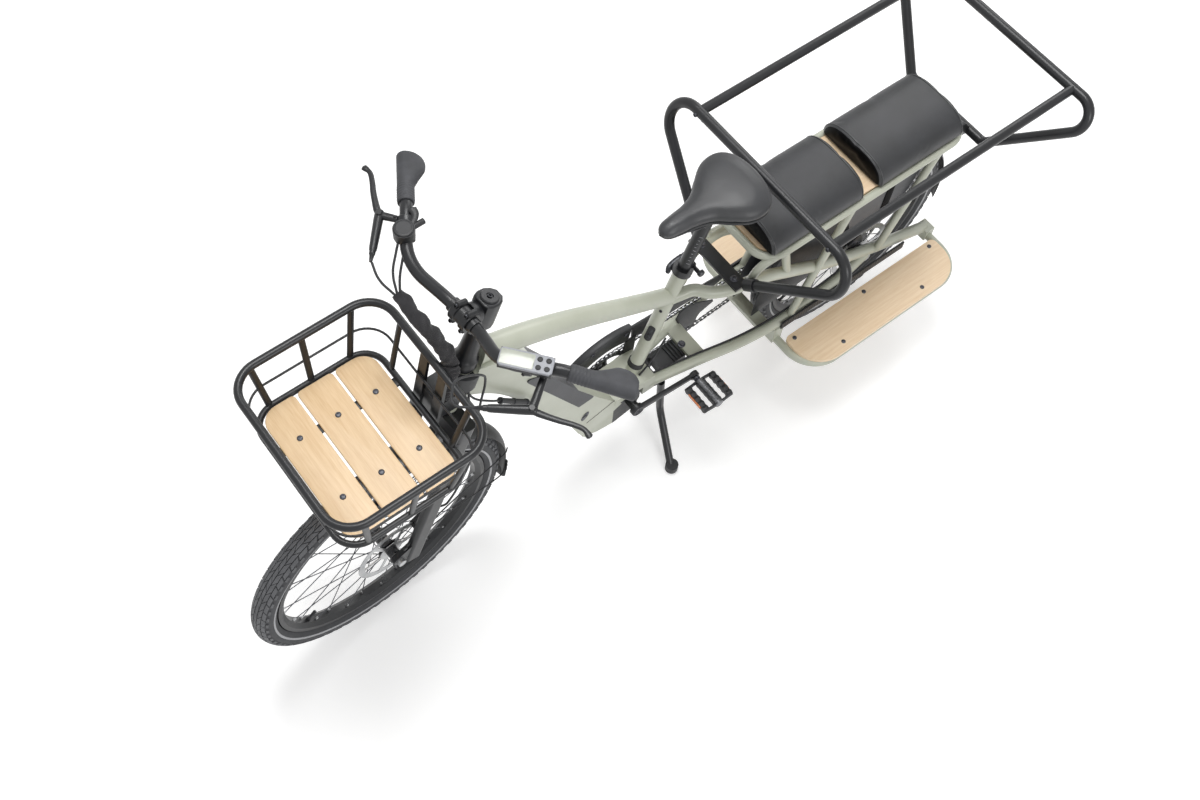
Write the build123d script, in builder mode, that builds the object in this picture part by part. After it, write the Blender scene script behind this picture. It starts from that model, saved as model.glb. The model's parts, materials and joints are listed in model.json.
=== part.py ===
from build123d import *
from math import cos, radians, sin, sqrt, tan
import os

# An electric cargo bicycle with a long tail, in millimetres: +X ahead, +Y to the rider's left, +Z up,
# with the floor at z = 0 and the origin under the middle of the whole bicycle.

# Wheels
front_axle_x = 732
wheelbase = 1440
front_tyre_radius = 340
rear_tyre_radius = 312
tyre_width = 58
tyre_wall = 4
front_rim_radius = 288
rear_rim_radius = 261
rim_width = 36
rim_depth = 20
spoke_radius = 1.1
spokes_per_flange = 16
axle_radius = 6
rotor_radius = 90
rotor_thickness = 2
rotor_y = 39

# Steering
head_angle = 69
fork_offset = 45
parked_steer = 4.6
steerer_radius = 14.3
head_tube_radius = 24
head_tube_length = 125
head_tube_foot = 445
fork_leg_y = 65
fork_leg_depth = 46
fork_leg_width = 22
stem_height = 170
stem_reach = 60
handlebar_radius = 12.5
clamp_radius = 15.9
grip_radius = 17

# Frame
front_centre = 691
crank_height = 290
crank_length = 173
down_tube_width = 90
top_tube_front_radius = 26
top_tube_rear_radius = 20
seat_tube_radius = 17.5
seat_post_radius = 15
upper_tube_radius = 15
stay_radius = 14
strut_radius = 10
deck_height = 690
deck_half_width = 100
deck_rail_radius = 10
deck_length = 640
board_thickness = 10
motor_width = 76
spindle_radius = 11

# Load carriers
hoop_radius = 12.5
hoop_height = 868
hoop_half_width = 393
rear_hoop_half_width = 356
side_bar_y = 220
side_bar_radius = 11.5
cushion_width = 200
cushion_height = 78
basket_height = 940
basket_depth = 135
basket_half_width = 200
basket_rod_radius = 6.5
footboard_height = 250
footboard_length = 530
footboard_inner_y = 122
footboard_outer_y = 242

# Fits
running_gap = 0.05
moving_gap = 6
soft_gap = 0.3

rear_axle_x = front_axle_x - wheelbase
crank_x = front_axle_x - front_centre
front_axle = Vector(front_axle_x, 0, front_tyre_radius)
rear_axle = Vector(rear_axle_x, 0, rear_tyre_radius)


def easy_radii(points):
    """The largest bend at each inner point: 0.45 of the shorter run over the tangent of half the turn."""
    places = [Vector(*point) for point in points]
    radii = []
    for before, here, after in zip(places, places[1:], places[2:]):
        turn = radians((here - before).get_angle(after - here))
        shorter = min((here - before).length, (after - here).length)
        radii.append(0.45 * shorter / tan(turn / 2))
    return radii


def round_bar(points, radius, bends=None):
    """Adds a round bar to the open part, along straight runs joined by tangent arcs."""
    with BuildLine() as route:
        if len(points) == 2:
            Line(*points)
        else:
            FilletPolyline(*points, radius=bends or easy_radii(points))
    with BuildSketch(Plane(origin=route.line @ 0, z_dir=route.line % 0)) as section:
        Circle(radius)
    sweep(sections=section.sketch, path=route.line)


def mirrored(point):
    """The same point on the other side of the bicycle."""
    return (point[0], -point[1], point[2])


def wheel_plane(axle):
    """A plane through an axle, across the wheel: its x runs to the left and its y runs up."""
    return Plane(origin=axle, x_dir=(0, 1, 0), z_dir=(1, 0, 0))


def side_plane(y):
    """An upright plane seen from the bicycle's right: its x runs ahead, its y up, its normal to the right."""
    return Plane(origin=(0, y, 0), x_dir=(1, 0, 0), z_dir=(0, -1, 0))


# ---------------------------------------------------------------- steering axis
# It leans back by the head angle and passes behind the front axle by the fork's offset.
head_sine = sin(radians(head_angle))
head_cosine = cos(radians(head_angle))
steering_foot = Vector(front_axle_x - fork_offset / head_sine, 0, front_tyre_radius)
steering_direction = Vector(-head_cosine, 0, head_sine)
steering_axis = Axis(steering_foot, steering_direction)
steering_plane = Plane(origin=steering_foot, x_dir=(head_sine, 0, head_cosine), z_dir=steering_direction)
parked_turn = (
    Location(steering_foot)
    * Location((0, 0, 0), steering_direction, parked_steer)
    * Location(-steering_foot)
)


def on_axis(along, ahead=0, left=0):
    """A point so far up the steering axis, ahead of it and to its left."""
    return steering_plane.from_local_coords((ahead, left, along))


def clear_head_tube():
    """Cuts away what would stand inside the head tube, or in the way of the stem above it."""
    with BuildSketch(steering_plane.offset(head_tube_foot)) as tube:
        Circle(head_tube_radius)
    extrude(tube.sketch, amount=head_tube_length, mode=Mode.SUBTRACT)
    with BuildSketch(steering_plane.offset(head_tube_foot + head_tube_length)) as above:
        Circle(head_tube_radius + 12)
    extrude(above.sketch, amount=60, mode=Mode.SUBTRACT)


# ---------------------------------------------------------------- down tube with its battery
down_half = down_tube_width / 2
fx = front_axle_x
down_outline = [
    (fx - 555, 252),
    (fx - 531, 303),
    (fx - 500, 388),
    (fx - 462, 467),
    (fx - 352, 674),
]
battery_outline = [
    (fx - 374, 735),
    (fx - 527, 444),
    (fx - 574, 447),
    (fx - 522, 534),
    (fx - 428, 712),
]

with BuildPart() as battery:
    with BuildSketch(side_plane(down_half)):
        with BuildLine():
            Polyline(*battery_outline, close=True)
        make_face()
    extrude(amount=down_tube_width)
    fillet(battery.edges().filter_by(Axis.Y), 6)
battery.part.label = "battery"

with BuildPart() as down_tube:
    with BuildSketch(side_plane(down_half)):
        with BuildLine():
            Polyline(*down_outline)
            throat = Spline(
                (fx - 352, 674),
                (fx - 238, 800),
                tangents=((110, 207), (1, 0.6)),
            )
            Line(throat @ 1, (fx - 266, 878))
            Line((fx - 266, 878), (fx - 330, 862))
            crown = Spline(
                (fx - 330, 862),
                (fx - 428, 712),
                tangents=((-1, -0.6), (-94, -178)),
            )
            Polyline(crown @ 1, (fx - 522, 534), (fx - 582, 434), (fx - 663, 309), (fx - 555, 252))
        make_face()
    extrude(amount=down_tube_width)
    # Narrower towards the head tube, seen from above.
    with BuildSketch(Plane.XY.offset(200)):
        with BuildLine():
            Polyline(
                (fx - 700, -down_half),
                (fx - 420, -down_half),
                (fx - 200, -head_tube_radius),
                (fx - 200, head_tube_radius),
                (fx - 420, down_half),
                (fx - 700, down_half),
                close=True,
            )
        make_face()
    extrude(amount=720, mode=Mode.INTERSECT)
    clear_head_tube()
    add(battery.part, mode=Mode.SUBTRACT)
down_tube.part.label = "down_tube"

# ---------------------------------------------------------------- main frame
seat_angle = 72
seat_tube_setback = 20
seat_tube_top = 698
seat_lean = tan(radians(seat_angle))
cluster_height = 601


def on_seat_tube(height):
    """The point of the seat tube's middle line at a height."""
    return Vector(crank_x - seat_tube_setback - (height - crank_height) / seat_lean, 0, height)


yoke_top = 350
yoke_split = 322
yoke_foot = 286
yoke_half_width = 46
motor_rear_x = crank_x - 37

with BuildPart() as main_frame:
    # Head tube
    with BuildSketch(steering_plane.offset(head_tube_foot)):
        Circle(head_tube_radius)
    extrude(amount=head_tube_length)
    # Top tube, wide and slightly bowed at the head, slim at the seat
    top_tube_line = [
        Vector(front_axle_x - 250, 0, 896),
        Vector(front_axle_x - 400, 0, 842),
        Vector(front_axle_x - 560, 0, 756),
        on_seat_tube(cluster_height) - Vector(8, 0, 0),
    ]
    top_tube_radii = [top_tube_front_radius, top_tube_front_radius - 1, 23, top_tube_rear_radius]
    for number, (middle, radius) in enumerate(zip(top_tube_line, top_tube_radii)):
        ahead = top_tube_line[max(number - 1, 0)]
        behind = top_tube_line[min(number + 1, 3)]
        with BuildSketch(Plane(origin=middle, x_dir=(0, 1, 0), z_dir=behind - ahead)):
            Circle(radius)
    loft()
    # Seat tube
    round_bar([on_seat_tube(yoke_split), on_seat_tube(seat_tube_top)], seat_tube_radius)
    # Yoke over and behind the motor, which carries the seat tube and the stays
    with BuildSketch(side_plane(yoke_half_width)):
        with BuildLine():
            Polyline(
                (crank_x + 50, yoke_top - 6),
                (motor_rear_x - 2, yoke_top),
                (motor_rear_x - 37, yoke_top - 8),
                (motor_rear_x - 37, yoke_foot),
                (motor_rear_x, yoke_foot),
                (motor_rear_x, yoke_split),
                (crank_x + 50, yoke_split),
                close=True,
            )
        make_face()
    extrude(amount=2 * yoke_half_width)
    # The top tube ends on the head tube's own face, and the bores stay open
    with BuildSketch(steering_plane.offset(head_tube_foot)):
        Circle(head_tube_radius - 3)
    extrude(amount=head_tube_length, mode=Mode.SUBTRACT)
    with BuildSketch(steering_plane.offset(head_tube_foot + head_tube_length)):
        Circle(head_tube_radius + 12)
    extrude(amount=60, mode=Mode.SUBTRACT)
    with BuildSketch(Plane(origin=on_seat_tube(560), z_dir=(-1 / seat_lean, 0, 1))):
        Circle(seat_post_radius)
    extrude(amount=300, mode=Mode.SUBTRACT)
    add(down_tube.part, mode=Mode.SUBTRACT)
    add(battery.part, mode=Mode.SUBTRACT)
main_frame.part.label = "main_frame"

# Two bearing cups close the head tube and carry the fork's steerer.
cup_length = 12
with BuildPart() as headset:
    for foot, lip in ((head_tube_foot, -5), (head_tube_foot + head_tube_length, 5)):
        inward = -1 if lip > 0 else 1
        with BuildSketch(steering_plane.offset(foot)):
            Circle(head_tube_radius - 3)
            Circle(steerer_radius + running_gap, mode=Mode.SUBTRACT)
        extrude(amount=inward * cup_length)
        with BuildSketch(steering_plane.offset(foot)):
            Circle(head_tube_radius)
            Circle(steerer_radius + running_gap, mode=Mode.SUBTRACT)
        extrude(amount=lip)
headset.part.label = "headset"

# The motor is a plain closed block around the crank spindle.
with BuildPart() as motor:
    with BuildSketch(side_plane(motor_width / 2)):
        with BuildLine():
            Polyline(
                (crank_x + 138, 246),
                (crank_x + 92, 222),
                (crank_x + 40, 212),
                (crank_x - 20, 226),
                (motor_rear_x, 262),
                (motor_rear_x, yoke_split),
                (crank_x + 62, yoke_split),
                (crank_x + 120, 300),
                close=True,
            )
        make_face()
    extrude(amount=motor_width)
    add(down_tube.part, mode=Mode.SUBTRACT)
    add(main_frame.part, mode=Mode.SUBTRACT)
    with Locations(Location((crank_x, 0, crank_height), (90, 0, 0))):
        Cylinder(spindle_radius + running_gap, motor_width + 2, mode=Mode.SUBTRACT)
motor.part.label = "motor"

# ---------------------------------------------------------------- rear frame
rx = rear_axle_x
tail_y = 80
tail_end_x = rx - 233
seat_cluster = on_seat_tube(cluster_height)
upper_tube_line = [
    (seat_cluster.X + 2, 6, cluster_height),
    (crank_x - 177, 20, 607),
    (crank_x - 201, 46, 601),
    (crank_x - 244, 66, 597),
    (crank_x - 337, tail_y, 590),
    (rx + 299, tail_y, 514),
    (rx + 149, tail_y, 419),
    (rx - 6, tail_y, 343),
    (tail_end_x, tail_y, 252),
]
boss_y = 104
tail_boss_z = 240
with BuildPart() as upper_tubes:
    round_bar(upper_tube_line, upper_tube_radius)
    with Locations((tail_end_x, (boss_y + tail_y - 14) / 2, tail_boss_z + 4)):
        Box(30, boss_y - tail_y + 14, 36)
    mirror(about=Plane.XZ)
    # Both end on the seat tube's own face
    with BuildSketch(Plane(origin=on_seat_tube(cluster_height - 60), z_dir=(-1 / seat_lean, 0, 1))):
        Circle(seat_tube_radius)
    extrude(amount=120, mode=Mode.SUBTRACT)
    add(main_frame.part, mode=Mode.SUBTRACT)
upper_tubes.part.label = "upper_tubes"

stay_front_x = motor_rear_x - 20
stay_line = [
    (stay_front_x, 32, 303),
    (crank_x - 209, 60, 306),
    (crank_x - 319, 80, 299),
    (rx + 318, 88, 291),
    (rx + 190, 88, 297),
    (rx + 90, 86, 308),
    (rx + 10, tail_y, 336),
]
dropout_y = 67.5
dropout_thickness = 8
board_boss_x = rx + 312
with BuildPart() as lower_stays:
    round_bar(stay_line, stay_radius)
    # Dropout plate, with the axle's slot
    with BuildSketch(side_plane(dropout_y + dropout_thickness)):
        with BuildLine():
            Polyline(
                (rx + 90, 318),
                (rx + 95, 300),
                (rx + 30, 290),
                (rx - 22, 290),
                (rx - 40, 318),
                (rx - 40, 334),
                (rx + 20, 350),
                close=True,
            )
        make_face()
        with Locations((rx, rear_tyre_radius)):
            Circle(axle_radius, mode=Mode.SUBTRACT)
    extrude(amount=dropout_thickness)
    # Boss that carries the footboard's rail
    with Locations((board_boss_x, (boss_y + 78) / 2, 258)):
        Box(30, boss_y - 78, 60)
    mirror(about=Plane.XZ)
    # Bridges: a flat plate behind the stand and a second one ahead of the wheel
    for bridge_x, bridge_z, half_width, length in (
        (crank_x - 208, 306, 50, 40),
        (rx + 340, 284, 78, 34),
    ):
        with Locations((bridge_x, 0, bridge_z)):
            Box(length, 2 * half_width, 14)
    add(main_frame.part, mode=Mode.SUBTRACT)
    add(upper_tubes.part, mode=Mode.SUBTRACT)
lower_stays.part.label = "lower_stays"

# ---------------------------------------------------------------- deck
deck_front_x = rx + 440
deck_rear_x = deck_front_x - deck_length
front_strut_line = [(rx + 377, deck_half_width - 4, deck_height), (rx + 333, 84, 555)]
middle_strut_line = [(rx + 155, 92, deck_height), (rx + 39 + 232, 92, 300)]
rear_strut_line = [(rx - 120, 94, deck_height), (rx - 18, 90, 345)]
with BuildPart() as deck_rails:
    with BuildLine() as loop:
        FilletPolyline(
            (deck_front_x, deck_half_width, deck_height),
            (deck_front_x, -deck_half_width, deck_height),
            (deck_rear_x, -deck_half_width, deck_height),
            (deck_rear_x, deck_half_width, deck_height),
            radius=55,
            close=True,
        )
    with BuildSketch(Plane(origin=loop.line @ 0, z_dir=loop.line % 0)):
        Circle(deck_rail_radius)
    sweep()
    for line in (front_strut_line, middle_strut_line, rear_strut_line):
        round_bar(line, strut_radius)
        round_bar([mirrored(point) for point in line], strut_radius)
    # Front legs, curving in to the upper tubes
    for side in (1, -1):
        round_bar(
            [
                (deck_front_x - 50, side * 96, deck_height - 4),
                (deck_front_x + 6, side * 90, deck_height - 16),
                (crank_x - 292, side * 76, 590),
            ],
            strut_radius,
        )
    # Cross bars under the board
    for bar_x in (deck_front_x - 150, rx - 4, deck_rear_x + 90):
        round_bar([(bar_x, -deck_half_width, deck_height - 9), (bar_x, deck_half_width, deck_height - 9)], 8)
    add(upper_tubes.part, mode=Mode.SUBTRACT)
    add(lower_stays.part, mode=Mode.SUBTRACT)
deck_rails.part.label = "deck_rails"

board_top = deck_height + deck_rail_radius
with BuildPart() as deck_board:
    with BuildSketch(Plane.XY.offset(board_top - board_thickness)):
        with Locations(((deck_front_x + deck_rear_x) / 2, 0)):
            RectangleRounded(deck_length - 21, 2 * deck_half_width - 21, 44)
    extrude(amount=board_thickness)
    add(deck_rails.part, mode=Mode.SUBTRACT)
deck_board.part.label = "deck_board"


def cushion(front_x, rear_x):
    """Adds a long pad with a flat base and a crowned top, upright at its ends."""
    length = front_x - rear_x
    base = board_top + soft_gap
    with BuildSketch(Plane(origin=(front_x, 0, 0), x_dir=(0, 1, 0), z_dir=(1, 0, 0))) as section:
        with BuildLine():
            half = cushion_width / 2
            side_top = base + 0.42 * cushion_height
            Polyline((-half, side_top), (-half, base), (half, base), (half, side_top))
            ThreePointArc((half, side_top), (0, base + cushion_height), (-half, side_top))
        make_face()
    extrude(section.sketch, amount=-length)


cushion_front_x = rx + 433
cushion_middle_x = rx + 146
cushion_rear_x = rx - 184
cushion_space = 52
with BuildPart() as cushions:
    cushion(cushion_front_x, cushion_middle_x)
    cushion(cushion_middle_x - cushion_space, cushion_rear_x)
cushions.part.label = "cushions"

# ---------------------------------------------------------------- side panels and guard strips
panel_thickness = 4
panel_y = 92 - strut_radius - soft_gap
with BuildPart() as side_panels:
    with BuildSketch(side_plane(panel_y)):
        with BuildLine():
            Polyline(
                (rx + 170, 664),
                (rx + 106, 490),
                (rx + 40, 476),
                (rx - 40, 476),
                (rx - 104, 664),
                close=True,
            )
        make_face()
        fillet(vertices(), 14)
    extrude(amount=panel_thickness)
    mirror(about=Plane.XZ)
side_panels.part.label = "side_panels"

strip_y = 88 + stay_radius + soft_gap
with BuildPart() as guard_strips:
    with Locations((rx + 97, strip_y + 2.5, 297)):
        Box(426, 5, 26)
    mirror(about=Plane.XZ)
    add(lower_stays.part, mode=Mode.SUBTRACT)
guard_strips.part.label = "guard_strips"

# ---------------------------------------------------------------- footboards
rail_radius = 11
rail_z = footboard_height - 5 - 10
board_front_x = board_boss_x - 6
board_rear_x = board_front_x - footboard_length


def footboard_rail(side):
    """Adds the tube loop that leaves the front boss, follows the board's outer edge and ends on the rear boss."""
    outer = side * (footboard_outer_y - rail_radius)
    round_bar(
        [
            (board_boss_x, side * boss_y, rail_z),
            (board_boss_x, outer, rail_z),
            (tail_end_x, outer, rail_z),
            (tail_end_x, side * boss_y, rail_z),
        ],
        rail_radius,
        84,
    )
    for cross_x in (board_boss_x - 150, tail_end_x + 160):
        inner = side * (footboard_inner_y + 6)
        round_bar([(cross_x, outer, rail_z + 1), (cross_x, inner, rail_z + 1)], 9)


def footboard(side):
    """Adds one board, with big round corners outside and small ones inside."""
    with BuildSketch(Plane.XY.offset(rail_z + rail_radius)) as outline:
        with Locations(((board_front_x + board_rear_x) / 2, side * (footboard_inner_y + footboard_outer_y) / 2)):
            Rectangle(footboard_length, footboard_outer_y - footboard_inner_y)
        by_y = outline.vertices().sort_by(Axis.Y)
        outer_corners = by_y[-2:] if side > 0 else by_y[:2]
        fillet(outer_corners, 84)
        by_y = outline.vertices().sort_by(Axis.Y)
        inner_corners = by_y[:2] if side > 0 else by_y[-2:]
        fillet(inner_corners, 16)
    extrude(outline.sketch, amount=10)


with BuildPart() as footboard_rails:
    footboard_rail(1)
    footboard_rail(-1)
footboard_rails.part.label = "footboard_rails"
with BuildPart() as footboards:
    footboard(1)
    footboard(-1)
footboards.part.label = "footboards"

# ---------------------------------------------------------------- grab hoops round the deck
front_hoop_foot = Vector(crank_x - 270, 64, 601)
front_hoop_corner = Vector(crank_x - 354, hoop_half_width, hoop_height)
front_hoop_run = (front_hoop_corner - front_hoop_foot).normalized()
front_hoop_start = front_hoop_foot + front_hoop_run * 44
with BuildPart() as front_hoop:
    round_bar(
        [
            tuple(front_hoop_start),
            tuple(front_hoop_corner),
            mirrored(tuple(front_hoop_corner)),
            mirrored(tuple(front_hoop_start)),
        ],
        hoop_radius,
        60,
    )
front_hoop.part.label = "front_hoop"

plate_thickness = 7
plate_z = 612
with BuildPart() as hoop_bracket:
    with Locations((crank_x - 264, 0, plate_z + plate_thickness / 2)):
        Box(36, 172, plate_thickness)
    for side in (1, -1):
        start = front_hoop_foot + front_hoop_run * 30
        run = front_hoop_run
        if side < 0:
            start = Vector(*mirrored(tuple(start)))
            run = Vector(*mirrored(tuple(run)))
        with BuildSketch(Plane(origin=start, z_dir=run)):
            Circle(hoop_radius + 3)
        extrude(amount=30)
    add(front_hoop.part, mode=Mode.SUBTRACT)
    add(upper_tubes.part, mode=Mode.SUBTRACT)
    add(main_frame.part, mode=Mode.SUBTRACT)
    add(deck_rails.part, mode=Mode.SUBTRACT)
hoop_bracket.part.label = "hoop_bracket"

rear_hoop_foot = (rx - 244, 126, 650)
rear_hoop_corner = (rx - 352, rear_hoop_half_width, hoop_height - 4)
with BuildPart() as rear_hoop:
    with BuildLine() as loop:
        FilletPolyline(
            rear_hoop_foot,
            rear_hoop_corner,
            mirrored(rear_hoop_corner),
            mirrored(rear_hoop_foot),
            radius=[24, 46, 46, 24],
            close=True,
        )
    with BuildSketch(Plane(origin=loop.line @ 0, z_dir=loop.line % 0)):
        Circle(hoop_radius)
    sweep()
    # Two bracket plates reach forward to the deck's rear rail.
    for outer_y in (78, -71):
        with BuildSketch(side_plane(outer_y)):
            with BuildLine():
                Polyline(
                    (deck_rear_x + 34, 672),
                    (deck_rear_x + 30, deck_height + 2),
                    (deck_rear_x - 16, deck_height + 2),
                    (rx - 240, 664),
                    (rx - 244, 640),
                    (deck_rear_x - 4, 648),
                    close=True,
                )
            make_face()
        extrude(amount=plate_thickness)
    add(deck_rails.part, mode=Mode.SUBTRACT)
    add(deck_board.part, mode=Mode.SUBTRACT)
rear_hoop.part.label = "rear_hoop"

with BuildPart() as side_bars:
    for side in (1, -1):
        round_bar(
            [
                (front_hoop_corner.X, side * side_bar_y, hoop_height),
                (rear_hoop_corner[0], side * side_bar_y, hoop_height - 4),
            ],
            side_bar_radius,
        )
    add(front_hoop.part, mode=Mode.SUBTRACT)
    add(rear_hoop.part, mode=Mode.SUBTRACT)
side_bars.part.label = "side_bars"

# ---------------------------------------------------------------- seat
post_top = 848
saddle_base = 886
saddle_height = 50
saddle_nose_x = crank_x - 55
with BuildPart() as seat_post:
    round_bar([on_seat_tube(575), on_seat_tube(post_top)], seat_post_radius)
    head = on_seat_tube(post_top)
    with Locations((head.X, 0, (post_top + saddle_base - 14) / 2)):
        Box(44, 30, saddle_base - 14 - post_top + 20)
    for side in (1, -1):
        round_bar(
            [
                (head.X - 88, side * 21, saddle_base + 2),
                (head.X - 60, side * 21, saddle_base - 20),
                (head.X + 50, side * 21, saddle_base - 20),
                (head.X + 100, side * 12, saddle_base + 2),
            ],
            3.5,
        )
    with Locations((head.X, 0, saddle_base - 20)):
        Box(40, 52, 12)
seat_post.part.label = "seat_post"

with BuildPart() as seat_clamp:
    clamp_low = on_seat_tube(seat_tube_top - 17)
    with BuildSketch(Plane(origin=clamp_low, z_dir=(-1 / seat_lean, 0, 1))):
        Circle(seat_tube_radius + 6)
    extrude(amount=18)
    with Locations((clamp_low.X - 20, 0, seat_tube_top - 8)):
        Box(26, 20, 14)
    round_bar([(clamp_low.X - 26, -26, seat_tube_top - 8), (clamp_low.X - 26, 30, seat_tube_top - 8)], 5)
    add(main_frame.part, mode=Mode.SUBTRACT)
    add(seat_post.part, mode=Mode.SUBTRACT)
seat_clamp.part.label = "seat_clamp"

with BuildPart() as saddle:
    with BuildSketch(Plane.XY.offset(saddle_base)):
        with BuildLine():
            nose = Spline(
                (saddle_nose_x, 0),
                (saddle_nose_x - 26, 27),
                (saddle_nose_x - 110, 44),
                (saddle_nose_x - 190, 96),
                (saddle_nose_x - 250, 78),
                (saddle_nose_x - 268, 0),
                tangents=((0, 1), (0, -1)),
            )
            mirror(nose, about=Plane.XZ)
        make_face()
    extrude(amount=saddle_height)
    add(seat_post.part, mode=Mode.SUBTRACT)
saddle.part.label = "saddle"

# ---------------------------------------------------------------- basket on the head tube
rim_front_x = fx + 146
rim_rear_x = fx - 193
floor_front_x = fx + 135
floor_rear_x = fx - 150
floor_half_width = 178
basket_floor = basket_height - basket_depth


def basket_ring(front, rear, half_width, height, corner):
    """Adds one closed rod ring of the basket."""
    with BuildLine() as loop:
        FilletPolyline(
            (front, half_width, height),
            (front, -half_width, height),
            (rear, -half_width, height),
            (rear, half_width, height),
            radius=corner,
            close=True,
        )
    with BuildSketch(Plane(origin=loop.line @ 0, z_dir=loop.line % 0)) as section:
        Circle(basket_rod_radius)
    sweep(sections=section.sketch, path=loop.line)


def basket_post(top, foot):
    """Adds an upright between the rim and the floor ring."""
    round_bar([top, foot], 5)


with BuildPart() as basket_frame:
    basket_ring(rim_front_x, rim_rear_x, basket_half_width, basket_height, 62)
    basket_ring(floor_front_x, floor_rear_x, floor_half_width, basket_floor, 52)
    for side in (1, -1):
        for rim_x, floor_x in (
            (fx + 96, fx + 88),
            (fx - 18, fx - 8),
            (fx - 132, fx - 98),
        ):
            basket_post((rim_x, side * basket_half_width, basket_height), (floor_x, side * floor_half_width, basket_floor))
        basket_post((rim_front_x, side * 110, basket_height), (floor_front_x, side * 100, basket_floor))
        basket_post((rim_rear_x, side * 118, basket_height), (floor_rear_x, side * 106, basket_floor))
    basket_post((rim_front_x, 0, basket_height), (floor_front_x, 0, basket_floor))
    # Two long bearers under the slats
    for side in (1, -1):
        with Locations(((floor_front_x + floor_rear_x) / 2, side * 77, basket_floor)):
            Box(floor_front_x - floor_rear_x, 20, 6)
basket_frame.part.label = "basket_frame"

slat_pitch = 87.5
slat_width = 80
slat_thickness = 8
with BuildPart() as basket_slats:
    with BuildSketch(Plane.XY.offset(basket_floor + 3)):
        for number in (-1, 0, 1):
            middle = (floor_front_x + floor_rear_x) / 2 + number * slat_pitch
            with Locations((middle, 0)):
                RectangleRounded(slat_width, 334, 9)
    extrude(amount=slat_thickness)
    add(basket_frame.part, mode=Mode.SUBTRACT)
basket_slats.part.label = "basket_slats"

flat_width = 24
with BuildPart() as basket_bracket:
    # Block welded on the head tube
    with BuildSketch(side_plane(34)):
        with BuildLine():
            Polyline(
                (fx - 214, 788),
                (fx - 160, 788),
                (fx - 172, 838),
                (fx - 236, 838),
                close=True,
            )
        make_face()
    extrude(amount=68)
    # Two flat bars up the basket's back
    for side in (1, -1):
        with BuildSketch(side_plane(side * 30 + flat_width / 2)):
            with BuildLine():
                Polyline(
                    (fx - 160, 780),
                    (fx - 154, 780),
                    (rim_rear_x + 3, basket_height),
                    (rim_rear_x - 3, basket_height),
                    (fx - 176, 836),
                    close=True,
                )
            make_face()
        extrude(amount=flat_width)
    clear_head_tube()
    add(down_tube.part, mode=Mode.SUBTRACT)
    add(basket_frame.part, mode=Mode.SUBTRACT)
basket_bracket.part.label = "basket_bracket"

# ---------------------------------------------------------------- wheels


def tyre(axle, radius, rim_radius):
    """Adds a hollow tyre, a ring of round section that ends on the rim."""
    with BuildSketch(wheel_plane(axle)) as section:
        with Locations((0, radius - tyre_width / 2)):
            Circle(tyre_width / 2)
            Circle(tyre_width / 2 - tyre_wall, mode=Mode.SUBTRACT)
        with Locations((0, rim_radius - 50)):
            Rectangle(tyre_width + 10, 100, mode=Mode.SUBTRACT)
    revolve(section.sketch, axis=Axis(axle, (0, 1, 0)))


def rim(axle, rim_radius):
    """Adds a deep rim with sloping inner shoulders."""
    half = rim_width / 2
    with BuildSketch(wheel_plane(axle)) as section:
        with BuildLine():
            Polyline(
                (-half, rim_radius),
                (half, rim_radius),
                (half, rim_radius - 10),
                (half - 9, rim_radius - rim_depth),
                (9 - half, rim_radius - rim_depth),
                (-half, rim_radius - 10),
                close=True,
            )
        make_face()
    revolve(section.sketch, axis=Axis(axle, (0, 1, 0)))


def hub(axle, half_length, shell_radius, flange_radius, flange_y, rim_radius, rotor_boss):
    """Adds a hub shell with two flanges, a brake boss and its laced spokes."""
    with BuildSketch(wheel_plane(axle)) as section:
        with BuildLine():
            Polyline(
                (-half_length, axle_radius + running_gap),
                (half_length, axle_radius + running_gap),
                (half_length, 14),
                (rotor_boss, 14),
                (rotor_boss, 22),
                (flange_y + 3, 22),
                (flange_y + 3, flange_radius),
                (flange_y, flange_radius),
                (flange_y - 4, shell_radius),
                (4 - flange_y, shell_radius),
                (-flange_y, flange_radius),
                (-flange_y - 3, flange_radius),
                (-flange_y - 3, 14),
                (-half_length, 14),
                close=True,
            )
        make_face()
    revolve(section.sketch, axis=Axis(axle, (0, 1, 0)))
    step = 360 / spokes_per_flange
    for side in (1, -1):
        for number in range(spokes_per_flange):
            lean = 52 if number % 2 else -52
            outward = 1.2 if number % 2 else -1.2
            angle = radians(step * (number + (0.25 if side > 0 else 0.75)))
            hole_angle = angle + radians(lean)
            hole = Vector(
                axle.X + (flange_radius - 4) * cos(hole_angle),
                side * (flange_y + 1.5 + outward),
                axle.Z + (flange_radius - 4) * sin(hole_angle),
            )
            nipple = Vector(
                axle.X + (rim_radius - rim_depth + 2) * cos(angle),
                side * 4,
                axle.Z + (rim_radius - rim_depth + 2) * sin(angle),
            )
            with BuildSketch(Plane(origin=hole, z_dir=nipple - hole)) as section:
                Circle(spoke_radius)
            extrude(section.sketch, amount=(nipple - hole).length)


def rotor(axle, middle_y):
    """Adds a brake disc: a braking ring on six arms round a centre that sits on the hub's boss."""
    with BuildSketch(Plane(origin=(axle.X, middle_y - rotor_thickness / 2, axle.Z), z_dir=(0, 1, 0))) as face:
        Circle(rotor_radius)
        Circle(rotor_radius - 16, mode=Mode.SUBTRACT)
        with PolarLocations(0, 6):
            with Locations((0, (rotor_radius - 14 + 24) / 2)):
                Rectangle(9, rotor_radius - 14 - 24)
        Circle(30)
        Circle(14, mode=Mode.SUBTRACT)
    extrude(face.sketch, amount=rotor_thickness)


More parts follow.
